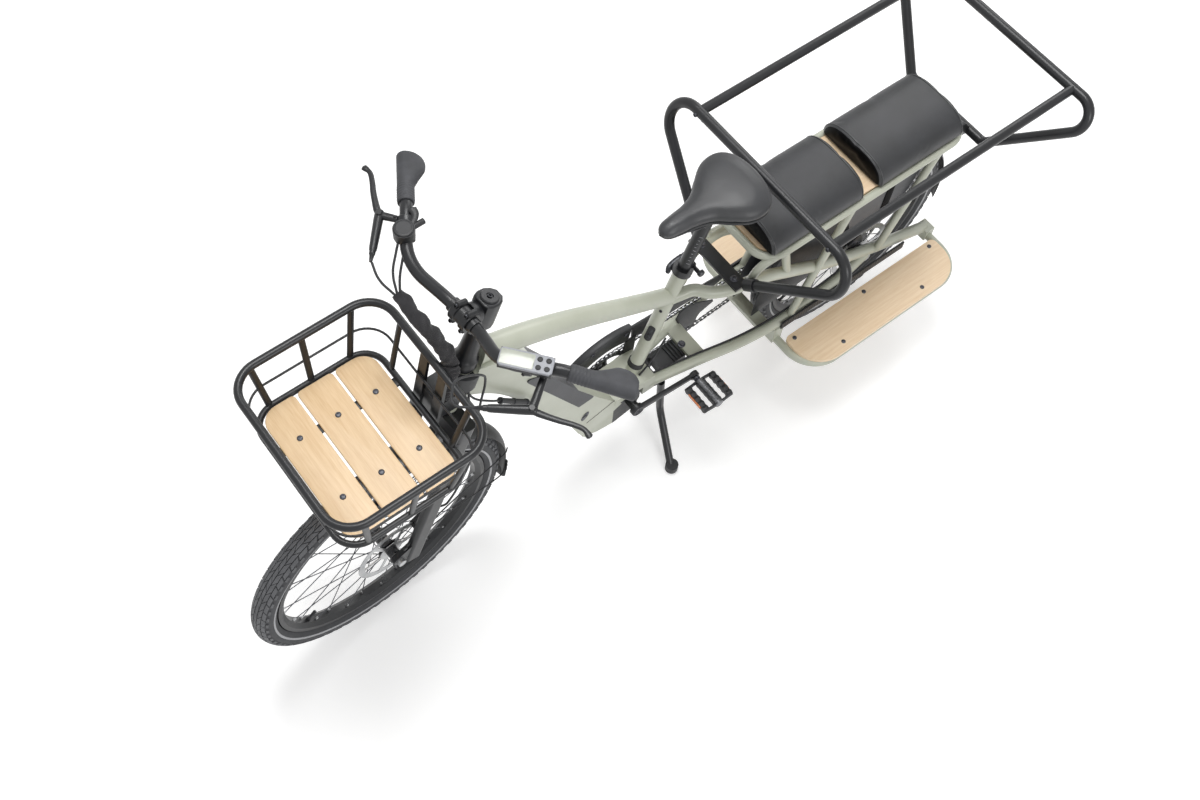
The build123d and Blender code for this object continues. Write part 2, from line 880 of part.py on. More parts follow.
fork_inner_y = fork_leg_y - fork_leg_width / 2
front_hub_half = fork_inner_y - 1
front_rotor_boss = rotor_y - rotor_thickness / 2
with BuildPart() as front_tyre:
    tyre(front_axle, front_tyre_radius, front_rim_radius)
front_tyre.part.label = "front_tyre"
with BuildPart() as front_rim:
    rim(front_axle, front_rim_radius)
front_rim.part.label = "front_rim"
with BuildPart() as front_hub:
    hub(front_axle, front_hub_half, 15, 29, 30, front_rim_radius, front_rotor_boss)
front_hub.part.label = "front_hub"
with BuildPart() as front_rotor:
    rotor(front_axle, rotor_y)
front_rotor.part.label = "front_rotor"

rear_hub_half = dropout_y - 1
rear_rotor_y = 52
with BuildPart() as rear_tyre:
    tyre(rear_axle, rear_tyre_radius, rear_rim_radius)
rear_tyre.part.label = "rear_tyre"
with BuildPart() as rear_rim:
    rim(rear_axle, rear_rim_radius)
rear_rim.part.label = "rear_rim"
with BuildPart() as rear_hub:
    hub(rear_axle, rear_hub_half, 34, 44, 34, rear_rim_radius, rear_rotor_y - rotor_thickness / 2)
rear_hub.part.label = "rear_hub"
with BuildPart() as rear_rotor:
    rotor(rear_axle, rear_rotor_y)
rear_rotor.part.label = "rear_rotor"

with BuildPart() as rear_axle_bolt:
    with Locations(Location(rear_axle, (90, 0, 0))):
        Cylinder(axle_radius, 2 * (dropout_y + dropout_thickness) + 2)
    for side in (1, -1):
        with Locations(Location((rx, side * (dropout_y + dropout_thickness + 5), rear_tyre_radius), (90, 0, 0))):
            Cylinder(11, 10)
rear_axle_bolt.part.label = "rear_axle_bolt"

# ---------------------------------------------------------------- fork, built straight ahead and turned at the end
crown_foot = 404
crown_top = head_tube_foot - 5 - running_gap - 0.25
crown_half_width = fork_leg_y + fork_leg_width / 2
leg_foot = -44
stem_foot = head_tube_foot + head_tube_length + 5 + 0.3
stem_top = 778
with BuildPart() as fork:
    with BuildSketch(steering_plane.offset(crown_foot)):
        RectangleRounded(52, 2 * crown_half_width, 16)
    extrude(amount=crown_top - crown_foot)
    with BuildSketch(steering_plane.offset(crown_top - 1)):
        Circle(steerer_radius)
    extrude(amount=stem_foot + stem_height - crown_top)
    for side in (1, -1):
        with BuildSketch(steering_plane.offset(leg_foot)):
            with Locations((0, side * fork_leg_y)):
                RectangleRounded(fork_leg_depth, fork_leg_width, 10)
        extrude(amount=crown_foot - leg_foot + 1)
        # Lug that holds the axle ahead of the leg
        with BuildSketch(side_plane(side * fork_leg_y + 7)):
            with Locations((front_axle_x, front_tyre_radius)):
                Circle(17)
            with BuildLine():
                Polyline(
                    (front_axle_x, front_tyre_radius + 17),
                    (front_axle_x - 46, front_tyre_radius + 30),
                    (front_axle_x - 46, front_tyre_radius - 34),
                    (front_axle_x, front_tyre_radius - 17),
                    close=True,
                )
            make_face()
        extrude(amount=14)
    with Locations(Location(front_axle, (90, 0, 0))):
        Cylinder(axle_radius, 2 * crown_half_width + 2, mode=Mode.SUBTRACT)
fork.part.label = "fork"

with BuildPart() as front_axle_bolt:
    with Locations(Location(front_axle, (90, 0, 0))):
        Cylinder(axle_radius, 2 * fork_leg_y + 16)
    for side in (1, -1):
        with Locations(Location((front_axle_x, side * (fork_leg_y + 12), front_tyre_radius), (90, 0, 0))):
            Cylinder(10, 9.8)
front_axle_bolt.part.label = "front_axle_bolt"

mudguard_gap = 15
mudguard_thickness = 2.5
mudguard_half_width = 31


def mudguard(axle, tyre_radius, start, sweep_angle):
    """Adds an arched strip round the wheel, from one angle over the top to another."""
    inner = tyre_radius + mudguard_gap
    lift = radians(start)
    plane = Plane(origin=axle, x_dir=(0, 1, 0), z_dir=(-sin(lift), 0, cos(lift)))
    with BuildSketch(plane) as section:
        with BuildLine():
            outer_arc = ThreePointArc(
                (-mudguard_half_width, -(inner - 12)),
                (0, -(inner + mudguard_thickness)),
                (mudguard_half_width, -(inner - 12)),
            )
            inner_arc = ThreePointArc(
                (-mudguard_half_width + mudguard_thickness, -(inner - 12)),
                (0, -inner),
                (mudguard_half_width - mudguard_thickness, -(inner - 12)),
            )
            Line(outer_arc @ 0, inner_arc @ 0)
            Line(outer_arc @ 1, inner_arc @ 1)
        make_face()
    revolve(section.sketch, axis=Axis(axle, (0, -1, 0)), revolution_arc=sweep_angle)


with BuildPart() as front_mudguard:
    # Tab up to the crown, cut back to the arch
    with Locations(Location(on_axis(crown_foot - 36, 0, 0), (0, -(90 - head_angle), 0))):
        Box(24, 18, 72)
    with BuildSketch(side_plane(20)):
        with Locations((fx, front_tyre_radius)):
            Circle(front_tyre_radius + mudguard_gap)
    extrude(amount=40, mode=Mode.SUBTRACT)
    add(fork.part, mode=Mode.SUBTRACT)
    mudguard(front_axle, front_tyre_radius, 88, 106)
front_mudguard.part.label = "front_mudguard"


def caliper(axle, angle, middle_y, inner_y, outer_y, length, depth):
    """Adds a brake caliper astride the disc, at an angle from straight ahead, with a slot for the disc."""
    turn = radians(angle)
    radial = Vector(cos(turn), 0, sin(turn))
    plane = Plane(origin=axle + radial * (rotor_radius - 14 + depth / 2), x_dir=radial, z_dir=(0, 1, 0))
    with BuildSketch(plane.offset(inner_y)) as section:
        RectangleRounded(depth, length, 7)
    extrude(section.sketch, amount=outer_y - inner_y)
    slot = rotor_thickness / 2 + 0.8
    disc_plane = Plane(origin=(axle.X, middle_y - slot, axle.Z), z_dir=(0, 1, 0))
    with BuildSketch(disc_plane) as section:
        Circle(rotor_radius + 2)
    extrude(section.sketch, amount=2 * slot, mode=Mode.SUBTRACT)


with BuildPart() as front_caliper:
    caliper(front_axle, 153, rotor_y, rotor_y - 8, fork_inner_y, 42, 50)
front_caliper.part.label = "front_caliper"

with BuildPart() as rear_caliper:
    caliper(rear_axle, 62, rear_rotor_y, rear_rotor_y - 8, tail_y - upper_tube_radius - soft_gap, 42, 40)
    add(upper_tubes.part, mode=Mode.SUBTRACT)
rear_caliper.part.label = "rear_caliper"

rear_guard_radius = rear_tyre_radius - 3
with BuildPart() as rear_mudguard:
    # Tab up to the deck's cross bar, cut back to the arch
    with Locations((rx - 4, 0, deck_height - 40)):
        Box(26, 20, 60)
    with BuildSketch(side_plane(20)):
        with Locations((rx, rear_tyre_radius)):
            Circle(rear_guard_radius + mudguard_gap)
    extrude(amount=40, mode=Mode.SUBTRACT)
    add(deck_rails.part, mode=Mode.SUBTRACT)
    add(deck_board.part, mode=Mode.SUBTRACT)
    mudguard(rear_axle, rear_guard_radius, 52, 136)
rear_mudguard.part.label = "rear_mudguard"

# ---------------------------------------------------------------- stem, handlebar and its controls
clamp_along = 744.5
clamp_middle = on_axis(clamp_along, stem_reach - 4)
stem_plane = Plane(origin=steering_foot + Vector(0, 17, 0), x_dir=(head_sine, 0, head_cosine), z_dir=(0, -1, 0))
bar_line_left = [
    (clamp_middle.X, 42, clamp_middle.Z),
    (clamp_middle.X + 25, 137, clamp_middle.Z + 39),
    (clamp_middle.X - 42, 220, clamp_middle.Z + 57),
    (clamp_middle.X - 125, 333, clamp_middle.Z + 32),
]
bar_line = [*reversed(bar_line_left), *[mirrored(point) for point in bar_line_left]]
bar_bends = [min(radius, 90) for radius in easy_radii(bar_line)]

with BuildPart() as handlebar:
    round_bar(bar_line, handlebar_radius, bar_bends)
    with Locations(Location(clamp_middle, (90, 0, 0))):
        Cylinder(clamp_radius, 68)
handlebar.part.label = "handlebar"

with BuildPart() as stem:
    with BuildSketch(steering_plane.offset(stem_foot)):
        Circle(27)
    extrude(amount=24)
    with BuildSketch(steering_plane.offset(stem_foot + 24)):
        Circle(24)
    with BuildSketch(steering_plane.offset(stem_top)):
        Circle(20)
    loft()
    with BuildSketch(stem_plane):
        with BuildLine():
            Polyline(
                (-24, stem_top - 52),
                (-26, stem_top - 4),
                (14, stem_top + 2),
                (stem_reach - 4, clamp_along + 20),
                (stem_reach - 4, clamp_along - 20),
                (16, stem_top - 66),
                close=True,
            )
        make_face()
    extrude(amount=34)
    with Locations(Location(clamp_middle, (90, 0, 0))):
        Cylinder(clamp_radius + 7, 44)
    with BuildSketch(steering_plane.offset(stem_foot)):
        Circle(steerer_radius)
    extrude(amount=stem_height, mode=Mode.SUBTRACT)
    add(handlebar.part, mode=Mode.SUBTRACT)
stem.part.label = "stem"

grip_start = Vector(*bar_line_left[2])
grip_run = (Vector(*bar_line_left[3]) - grip_start).normalized()
grip_length = 128


def side_vector(vector, side):
    """The vector for the left side, or its mirror image for the right."""
    return Vector(vector.X, side * vector.Y, vector.Z)


def grip(side):
    """Adds one grip: a sleeve over the bar's end, closed outside, with a palm wing behind it."""
    run = side_vector(grip_run, side)
    start = side_vector(grip_start, side) + run * 16
    with BuildSketch(Plane(origin=start, z_dir=run)) as section:
        Circle(grip_radius)
    extrude(section.sketch, amount=grip_length)
    behind = Vector(0, 0, 1).cross(run) * side
    wing_plane = Plane(origin=start + run * 0 - Vector(0, 0, 4), x_dir=run, z_dir=(0, 0, 1))
    reach = wing_plane.to_local_coords(start + behind * 38).Y
    with BuildSketch(wing_plane) as section:
        with BuildLine():
            edge = Spline(
                (44, 0),
                (66, reach * 0.55),
                (94, reach),
                (grip_length - 4, reach * 0.75),
                (grip_length, 0),
            )
            Line(edge @ 1, edge @ 0)
        make_face()
    extrude(section.sketch, amount=10)
    add(handlebar.part, mode=Mode.SUBTRACT)


with BuildPart() as grips:
    grip(1)
    grip(-1)
grips.part.label = "grips"

bar_slope = (Vector(*bar_line_left[2]) - Vector(*bar_line_left[1])).normalized()


def on_bar(before_grip, side):
    """A point of the bar's middle line, so far inboard of the grip's foot."""
    return side_vector(grip_start - bar_slope * before_grip, side)


def bar_ring(before_grip, side, width):
    """Adds a clamp ring round the bar."""
    run = side_vector(bar_slope, side)
    with BuildSketch(Plane(origin=on_bar(before_grip, side) - run * (width / 2), z_dir=run)) as section:
        Circle(handlebar_radius + 5)
    extrude(section.sketch, amount=width)


lever_skew = 22
cylinder_run = Vector(74, -70, -3)


def lever_perch(side):
    """Where a lever pivots, ahead of the bar: the left one is set further forward than the right."""
    return Vector(clamp_middle.X + 24 + side * lever_skew, side * 246, clamp_middle.Z + 50)


def brake_lever(side):
    """Adds a hydraulic lever: clamp ring, arm, master cylinder ahead of the bar, and the hooked blade."""
    bar_ring(24, side, 14)
    perch = lever_perch(side)
    round_bar([on_bar(24, side), perch], 7)
    round_bar([perch + side_vector(cylinder_run, side), perch], 9)
    round_bar(
        [
            tuple(perch),
            (perch.X - 22, side * 292, perch.Z + 2),
            (perch.X - 46, side * 330, perch.Z + 2),
            (perch.X - 44, side * 352, perch.Z + 2),
        ],
        5,
    )
    add(handlebar.part, mode=Mode.SUBTRACT)


with BuildPart() as brake_levers:
    brake_lever(1)
    brake_lever(-1)
brake_levers.part.label = "brake_levers"

shifter_place = on_bar(52, -1)
with BuildPart() as shifter:
    bar_ring(52, -1, 20)
    with Locations(shifter_place + Vector(4, 0, 14)):
        Cylinder(21, 24)
    round_bar([shifter_place + Vector(-8, 0, 12), shifter_place + Vector(-42, 0, 8)], 6)
    add(brake_levers.part, mode=Mode.SUBTRACT)
    add(handlebar.part, mode=Mode.SUBTRACT)
shifter.part.label = "shifter"

display_place = on_bar(58, 1)
display_turn = 126
with BuildPart() as display:
    bar_ring(58, 1, 12)
    with Locations(display_place + Vector(4, 0, 16)):
        Box(18, 18, 16)
    with Locations(Location(display_place + Vector(8, 2, 28), (0, 0, display_turn))):
        Box(98, 36, 13)
    add(brake_levers.part, mode=Mode.SUBTRACT)
    add(handlebar.part, mode=Mode.SUBTRACT)
display.part.label = "display"

# ---------------------------------------------------------------- cranks, pedals and chain
chain_y = -57
chainring_radius = 72
cog_radius = 40
chain_width = 6.5
chain_height = 8
arm_root_y = 72
arm_tip_y = 81
arm_thickness = 12
pedal_pin_radius = 7
pedal_middle_y = 139
pedal_length = 100
pedal_width = 86
pin_end_y = pedal_middle_y + pedal_width / 2 - 4
crank_centre = Vector(crank_x, 0, crank_height)

with BuildPart() as cranks:
    with Locations(Location(crank_centre, (90, 0, 0))):
        Cylinder(spindle_radius, 2 * arm_root_y)
    for side in (1, -1):
        tip_x = crank_x - side * crank_length
        with BuildSketch(Plane.XY.offset(crank_height - 11)):
            with BuildLine():
                Polyline(
                    (crank_x + side * 18, side * (arm_root_y - arm_thickness / 2)),
                    (crank_x + side * 18, side * (arm_root_y + arm_thickness / 2)),
                    (crank_x - side * 14, side * (arm_root_y + arm_thickness / 2)),
                    (tip_x + side * 20, side * (arm_tip_y + arm_thickness / 2)),
                    (tip_x - side * 15, side * (arm_tip_y + arm_thickness / 2)),
                    (tip_x - side * 15, side * (arm_tip_y - arm_thickness / 2)),
                    (tip_x + side * 20, side * (arm_tip_y - arm_thickness / 2)),
                    (crank_x - side * 14, side * (arm_root_y - arm_thickness / 2)),
                    close=True,
                )
            make_face()
        extrude(amount=22)
        round_bar([(tip_x, side * arm_tip_y, crank_height), (tip_x, side * pin_end_y, crank_height)], pedal_pin_radius)
cranks.part.label = "cranks"

with BuildPart() as chainring:
    with BuildSketch(Plane(origin=(crank_x, chain_y + 1.5, crank_height), z_dir=(0, -1, 0))):
        Circle(chainring_radius)
        Circle(chainring_radius - 14, mode=Mode.SUBTRACT)
        with PolarLocations(0, 5):
            with Locations((0, 38)):
                Rectangle(16, 46)
        Circle(24)
        Circle(spindle_radius, mode=Mode.SUBTRACT)
    extrude(amount=3)
chainring.part.label = "chainring"

with BuildPart() as rear_cog:
    with BuildSketch(Plane(origin=(rx, chain_y + 1.5, rear_tyre_radius), z_dir=(0, -1, 0))):
        Circle(cog_radius)
        Circle(14, mode=Mode.SUBTRACT)
    extrude(amount=3)
rear_cog.part.label = "rear_cog"

pulley_radius = 22
pulley_x = crank_x - 274
pulley_z = 250


def chain_outline(extra):
    """The edges of three circles, one round each toothed wheel, with so much added to each radius."""
    face = side_plane(chain_y + chain_width / 2)
    wheels = (
        (crank_x, crank_height, chainring_radius),
        (rx, rear_tyre_radius, cog_radius),
        (pulley_x, pulley_z, pulley_radius),
    )
    return [
        Edge.make_circle(radius + extra, Plane(origin=(x, face.origin.Y, z), x_dir=face.x_dir, z_dir=face.z_dir))
        for x, z, radius in wheels
    ]


with BuildPart() as chain:
    with BuildSketch(side_plane(chain_y + chain_width / 2)):
        make_hull([side_plane(chain_y + chain_width / 2).to_local_coords(e) for e in chain_outline(chain_height)])
    extrude(amount=chain_width)
    with BuildSketch(side_plane(chain_y + chain_width / 2)):
        make_hull([side_plane(chain_y + chain_width / 2).to_local_coords(e) for e in chain_outline(soft_gap)])
    extrude(amount=chain_width, mode=Mode.SUBTRACT)
chain.part.label = "chain"

with BuildPart() as chain_tensioner:
    with Locations(Location((pulley_x, chain_y, pulley_z), (90, 0, 0))):
        Cylinder(pulley_radius, 4)
    with BuildSketch(side_plane(chain_y + 11)):
        with BuildLine():
            Polyline(
                (crank_x - 214, 360),
                (crank_x - 240, 366),
                (crank_x - 262, 320),
                (pulley_x - 12, pulley_z - 10),
                (pulley_x + 12, pulley_z - 10),
                (crank_x - 222, 296),
                close=True,
            )
        make_face()
    extrude(amount=4)
    with Locations(Location((pulley_x, chain_y + 5, pulley_z), (90, 0, 0))):
        Cylinder(5, 12)
    add(lower_stays.part, mode=Mode.SUBTRACT)
chain_tensioner.part.label = "chain_tensioner"

guard_y = -(down_half + 1)
guard_plate_y = -yoke_half_width
guard_width = 10
guard_radius = 186
guard_band = 24
with BuildPart() as chainguard:
    with BuildSketch(side_plane(guard_y)):
        with Locations((crank_x, crank_height)):
            Circle(guard_radius)
            Circle(guard_radius - guard_band, mode=Mode.SUBTRACT)
        with BuildLine(mode=Mode.PRIVATE) as wedge:
            Polyline(
                (crank_x, crank_height),
                (crank_x + 400, crank_height + 150),
                (crank_x + 200, crank_height + 400),
                (crank_x - 230, crank_height + 400),
                close=True,
            )
        make_face(wedge.line, mode=Mode.INTERSECT)
        with BuildLine():
            Polyline(
                (crank_x - 82, crank_height + 166),
                (crank_x - 340, crank_height + 116),
                (crank_x - 340, crank_height + 96),
                (crank_x - 76, crank_height + 142),
                close=True,
            )
        make_face()
    extrude(amount=guard_width)
    # Plate down to the yoke, inside the chain
    with BuildSketch(side_plane(guard_plate_y)):
        with BuildLine():
            Polyline(
                (crank_x - 62, crank_height + 158),
                (crank_x - 30, crank_height + 166),
                (crank_x - 40, yoke_top - 16),
                (crank_x - 70, yoke_top - 16),
                close=True,
            )
        make_face()
    extrude(amount=5)
    add(main_frame.part, mode=Mode.SUBTRACT)
chainguard.part.label = "chainguard"


def pedal(side):
    """Adds a cage pedal: two plates and two ends round a barrel that turns on the pin."""
    tip = Vector(crank_x - side * crank_length, side * pedal_middle_y, crank_height)
    with Locations(tip):
        Box(pedal_length, pedal_width, 22)
        with Locations((pedal_length / 4 + 2, 0, 0), (-pedal_length / 4 - 2, 0, 0)):
            Box(pedal_length / 2 - 24, pedal_width - 20, 30, mode=Mode.SUBTRACT)
    with Locations(Location(tip, (90, 0, 0))):
        Cylinder(pedal_pin_radius + running_gap, pedal_width - 8, mode=Mode.SUBTRACT)
    with Locations(tip - Vector(0, side * (pedal_width / 2 - 2), 0)):
        with Locations(Location((0, 0, 0), (90, 0, 0))):
            Cylinder(pedal_pin_radius + running_gap, 12, mode=Mode.SUBTRACT)


with BuildPart() as pedal_left:
    pedal(1)
pedal_left.part.label = "pedal_left"
with BuildPart() as pedal_right:
    pedal(-1)
pedal_right.part.label = "pedal_right"

# ---------------------------------------------------------------- centre stand
stand_pivot_x = crank_x - 106
stand_pivot_z = 250
stand_pin_radius = 8
stand_foot_y = 162
stand_leg_y = 38
ear_y = 24
with BuildPart() as stand_mount:
    with Locations((crank_x - 150, 0, 285)):
        Box(76, 56, 30)
    for side in (1, -1):
        with BuildSketch(side_plane(side * ear_y + 4)):
            with BuildLine():
                Polyline(
                    (stand_pivot_x + 16, 300),
                    (stand_pivot_x - 50, 300),
                    (stand_pivot_x - 14, stand_pivot_z - 12),
                    (stand_pivot_x + 14, stand_pivot_z - 12),
                    close=True,
                )
            make_face()
            with Locations((stand_pivot_x, stand_pivot_z)):
                Circle(16)
                Circle(stand_pin_radius + running_gap, mode=Mode.SUBTRACT)
        extrude(amount=8)
    add(lower_stays.part, mode=Mode.SUBTRACT)
    add(main_frame.part, mode=Mode.SUBTRACT)
stand_mount.part.label = "stand_mount"

with BuildPart() as centre_stand:
    with Locations(Location((stand_pivot_x, 0, stand_pivot_z), (90, 0, 0))):
        Cylinder(stand_pin_radius, 2 * stand_leg_y + 10)
    for side in (1, -1):
        round_bar(
            [
                (stand_pivot_x, side * stand_leg_y, stand_pivot_z + 14),
                (crank_x - 117, side * (stand_leg_y + 2), 112),
                (crank_x - 72, side * (stand_foot_y - 4), 12),
            ],
            10,
            [50],
        )
centre_stand.part.label = "centre_stand"

with BuildPart() as stand_feet:
    for side in (1, -1):
        with Locations((crank_x - 74, side * (stand_foot_y - 4), 13)):
            Cylinder(17, 26)
            fillet(stand_feet.edges().group_by(Axis.Z)[0], 3)
    add(centre_stand.part, mode=Mode.SUBTRACT)
stand_feet.part.label = "stand_feet"

# ---------------------------------------------------------------- hoses
hose_radius = 2.5
sleeve_radius = 13
cover_foot = head_tube_foot + 85
cover_height = 39

with BuildPart() as port_cover:
    with BuildSketch(steering_plane.offset(cover_foot)):
        Circle(head_tube_radius + 17)
        with BuildLine(mode=Mode.PRIVATE) as wedge:
            Polyline((0, 0), (50, 22), (20, 60), (-30, 50), close=True)
        make_face(wedge.line, mode=Mode.INTERSECT)
        Circle(head_tube_radius + soft_gap, mode=Mode.SUBTRACT)
    extrude(amount=cover_height)
    add(main_frame.part, mode=Mode.SUBTRACT)
    add(down_tube.part, mode=Mode.SUBTRACT)
    add(basket_bracket.part, mode=Mode.SUBTRACT)
port_cover.part.label = "port_cover"

# The rear brake's hose lies in the upper inner corner of the left stay and rises to the caliper.
hose_rise = (stay_radius + hose_radius + soft_gap) / sqrt(2)
with BuildPart() as frame_hoses:
    for ahead in (4, -4):
        round_bar(
            [
                on_axis(cover_foot + 4, ahead, 33),
                on_axis(cover_foot - 20, ahead - 2, 42),
                on_axis(cover_foot - 44, ahead - 10, 44),
                on_axis(cover_foot - 64, ahead - 22, 36),
                on_axis(cover_foot - 78, ahead - 34, 24),
            ],
            hose_radius,
        )
    round_bar(
        [
            *[(x, y - hose_rise, z + hose_rise) for x, y, z in stay_line[:6]],
            (rx + 72, 70, 352),
            (rx + 58, 60, 384),
            (rx + 48, 56, 412),
        ],
        hose_radius,
    )
    clear_head_tube()
    for neighbour in (port_cover, main_frame, down_tube, basket_bracket, rear_caliper, lower_stays, upper_tubes):
        add(neighbour.part, mode=Mode.SUBTRACT)
frame_hoses.part.label = "frame_hoses"

with BuildPart() as hose_sleeve:
    round_bar(
        [
            on_axis(731, 125, -110),
            on_axis(705, 112, -61),
            on_axis(672, 86, -29),
            on_axis(628, 58, -2),
            on_axis(590, 44, 4),
        ],
        sleeve_radius,
    )
hose_sleeve.part.label = "hose_sleeve"

front_hose_line = [
    lever_perch(1) + cylinder_run * 0.96,
    lever_perch(1) + cylinder_run * 1.4,
    on_axis(738, 186, 120),
    on_axis(712, 150, 95),
    on_axis(682, 100, 82),
    on_axis(650, 48, 76),
    on_axis(612, 10, 67),
    on_axis(575, 1, 69),
    on_axis(542, -1, 71),
    on_axis(512, -5, 73),
    on_axis(486, -6, 76),
    on_axis(460, -14, 79),
    on_axis(430, -18, 88),
    on_axis(386, -14, 97),
    on_axis(330, -16, 98),
    on_axis(270, -24, 92),
    on_axis(212, -28, 87),
    on_axis(150, -34, 76),
    on_axis(118, -36, 58),
    on_axis(96, -26, 46),
    on_axis(72, -12, 43),
]
with BuildPart() as steering_hoses:
    for start, middle, end in (
        (lever_perch(-1) + side_vector(cylinder_run, -1) * 0.96, (748, 150, -142), (728, 128, -104)),
        (shifter_place + Vector(18, 2, 8), (752, 118, -142), (729, 126, -106)),
        (shifter_place + Vector(10, 12, 4), (748, 108, -130), (729, 120, -106)),
    ):
        round_bar([start, on_axis(*middle), on_axis(*end)], hose_radius)
    round_bar(front_hose_line, hose_radius)
    for neighbour in (hose_sleeve, brake_levers, shifter, handlebar, front_caliper):
        add(neighbour.part, mode=Mode.SUBTRACT)
steering_hoses.part.label = "steering_hoses"

# ---------------------------------------------------------------- the steered pieces turn to where they are parked
steered_pieces = [
    fork,
    front_mudguard,
    front_caliper,
    front_axle_bolt,
    front_tyre,
    front_rim,
    front_hub,
    front_rotor,
    stem,
    handlebar,
    grips,
    brake_levers,
    shifter,
    display,
    hose_sleeve,
    steering_hoses,
]
for piece in steered_pieces:
    piece.part.move(parked_turn)

fixed_pieces = [
    battery,
    down_tube,
    main_frame,
    headset,
    motor,
    upper_tubes,
    lower_stays,
    deck_rails,
    deck_board,
    cushions,
    side_panels,
    guard_strips,
    footboard_rails,
    footboards,
    front_hoop,
    hoop_bracket,
    rear_hoop,
    side_bars,
    seat_post,
    seat_clamp,
    saddle,
    basket_frame,
    basket_slats,
    basket_bracket,
    rear_tyre,
    rear_rim,
    rear_hub,
    rear_rotor,
    rear_axle_bolt,
    rear_caliper,
    rear_mudguard,
    cranks,
    chainring,
    rear_cog,
    chain,
    chain_tensioner,
    chainguard,
    pedal_left,
    pedal_right,
    stand_mount,
    centre_stand,
    stand_feet,
    port_cover,
    frame_hoses,
]

os.makedirs("parts", exist_ok=True)
for piece in steered_pieces + fixed_pieces:
    export_step(piece.part, "parts/" + piece.part.label + ".step")
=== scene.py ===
import json

import bpy
import numpy as np
from mathutils import Matrix, Vector
from mathutils.bvhtree import BVHTree


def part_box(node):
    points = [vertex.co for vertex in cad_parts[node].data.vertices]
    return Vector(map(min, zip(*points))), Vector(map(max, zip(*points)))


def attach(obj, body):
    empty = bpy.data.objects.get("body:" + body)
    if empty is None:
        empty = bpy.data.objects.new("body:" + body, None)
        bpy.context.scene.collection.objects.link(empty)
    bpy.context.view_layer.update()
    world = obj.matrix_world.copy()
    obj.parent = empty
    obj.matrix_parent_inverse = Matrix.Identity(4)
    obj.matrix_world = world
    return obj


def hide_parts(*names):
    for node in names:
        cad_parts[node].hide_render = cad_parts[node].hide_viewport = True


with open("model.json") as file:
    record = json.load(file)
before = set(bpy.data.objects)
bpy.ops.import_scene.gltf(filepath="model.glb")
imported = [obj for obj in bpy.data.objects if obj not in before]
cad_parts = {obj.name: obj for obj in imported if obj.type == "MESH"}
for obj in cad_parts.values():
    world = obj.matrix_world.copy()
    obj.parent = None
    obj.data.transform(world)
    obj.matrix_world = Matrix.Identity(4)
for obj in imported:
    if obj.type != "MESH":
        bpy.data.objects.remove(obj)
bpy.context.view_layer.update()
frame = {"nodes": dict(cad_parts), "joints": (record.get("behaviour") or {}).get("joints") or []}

nodes = frame["nodes"]
joints = {joint["name"]: joint for joint in frame["joints"]}


# ---------------------------------------------------------------- camera
# It looks down from above the front left of the bicycle, at the lens that sees the whole of it
# with the front wheel nearest.
camera_data = bpy.data.cameras.new("camera")
camera_data.sensor_width = 36.0
camera_data.lens = 40.6256
camera_data.clip_start = 0.05
camera_data.clip_end = 60.0
camera = bpy.data.objects.new("camera", camera_data)
bpy.context.scene.collection.objects.link(camera)
camera_right = Vector((-0.791955, 0.608549, 0.049743))
camera_up = Vector((-0.521989, -0.717063, 0.461896))
camera_back = Vector((0.316756, 0.339836, 0.885538))
camera_turn = Matrix((camera_right, camera_up, camera_back)).transposed()
camera.matrix_world = Matrix.Translation((1.146314, 1.123264, 3.219169)) @ camera_turn.to_4x4()
bpy.context.scene.camera = camera
bpy.context.scene.view_settings.view_transform = "Standard"


# ---------------------------------------------------------------- studio
# A pale sweep of floor under plain soft boxes: a wide one overhead, one at the rider's left and a
# weaker one behind. The world fills the shadows and shows white to the camera and in the metal.
def srgb(text):
    """The linear colour of a six-digit code: each channel c becomes ((c + 0.055) / 1.055) to the power 2.4, or
    c / 12.92 where it is very dark."""
    channels = np.array([int(text[at : at + 2], 16) / 255 for at in (0, 2, 4)])
    curved = ((channels + 0.055) / 1.055) ** 2.4
    return (*np.where(channels <= 0.04045, channels / 12.92, curved).tolist(), 1.0)


def add_node(made, kind, values=None, **settings):
    """Adds a node: settings go on the node, and each value is a number, a colour or an output to link."""
    node = made.node_tree.nodes.new(kind)
    for name, setting in settings.items():
        setattr(node, name, setting)
    for name, value in (values or {}).items():
        if isinstance(value, bpy.types.NodeSocket):
            made.node_tree.links.new(value, node.inputs[name])
        else:
            node.inputs[name].default_value = value
    return node


def calc(made, operation, *values):
    """The output of a math node, whose values are numbers or outputs."""
    return add_node(made, "ShaderNodeMath", dict(enumerate(values)), operation=operation).outputs[0]


def seen_white(made):
    """One for rays from the camera, off a glossy face or through glass, and nought for the rest: the greatest
    of the three flags."""
    flags = add_node(made, "ShaderNodeLightPath").outputs
    direct = calc(made, "MAXIMUM", flags["Is Camera Ray"], flags["Is Glossy Ray"])
    return calc(made, "MAXIMUM", direct, flags["Is Transmission Ray"])


def surface(name, colour, roughness, **values):
    """A material of one principled shader, with what is the same all over on the shader's own sockets."""
    made = bpy.data.materials.new(name)
    made.use_nodes = True
    shader = made.node_tree.nodes["Principled BSDF"]
    shader.inputs["Base Color"].default_value = srgb(colour)
    shader.inputs["Roughness"].default_value = roughness
    for socket, value in values.items():
        shader.inputs[socket.replace("_", " ")].default_value = value
    return made


def feed(made, socket, output):
    """Links an output to a socket of the material's shader."""
    made.node_tree.links.new(output, made.node_tree.nodes["Principled BSDF"].inputs[socket])


white = (1.0, 1.0, 1.0, 1.0)
fill = 0.44
floor_glow = 0.36
floor_half, floor_z = 9, -0.0015

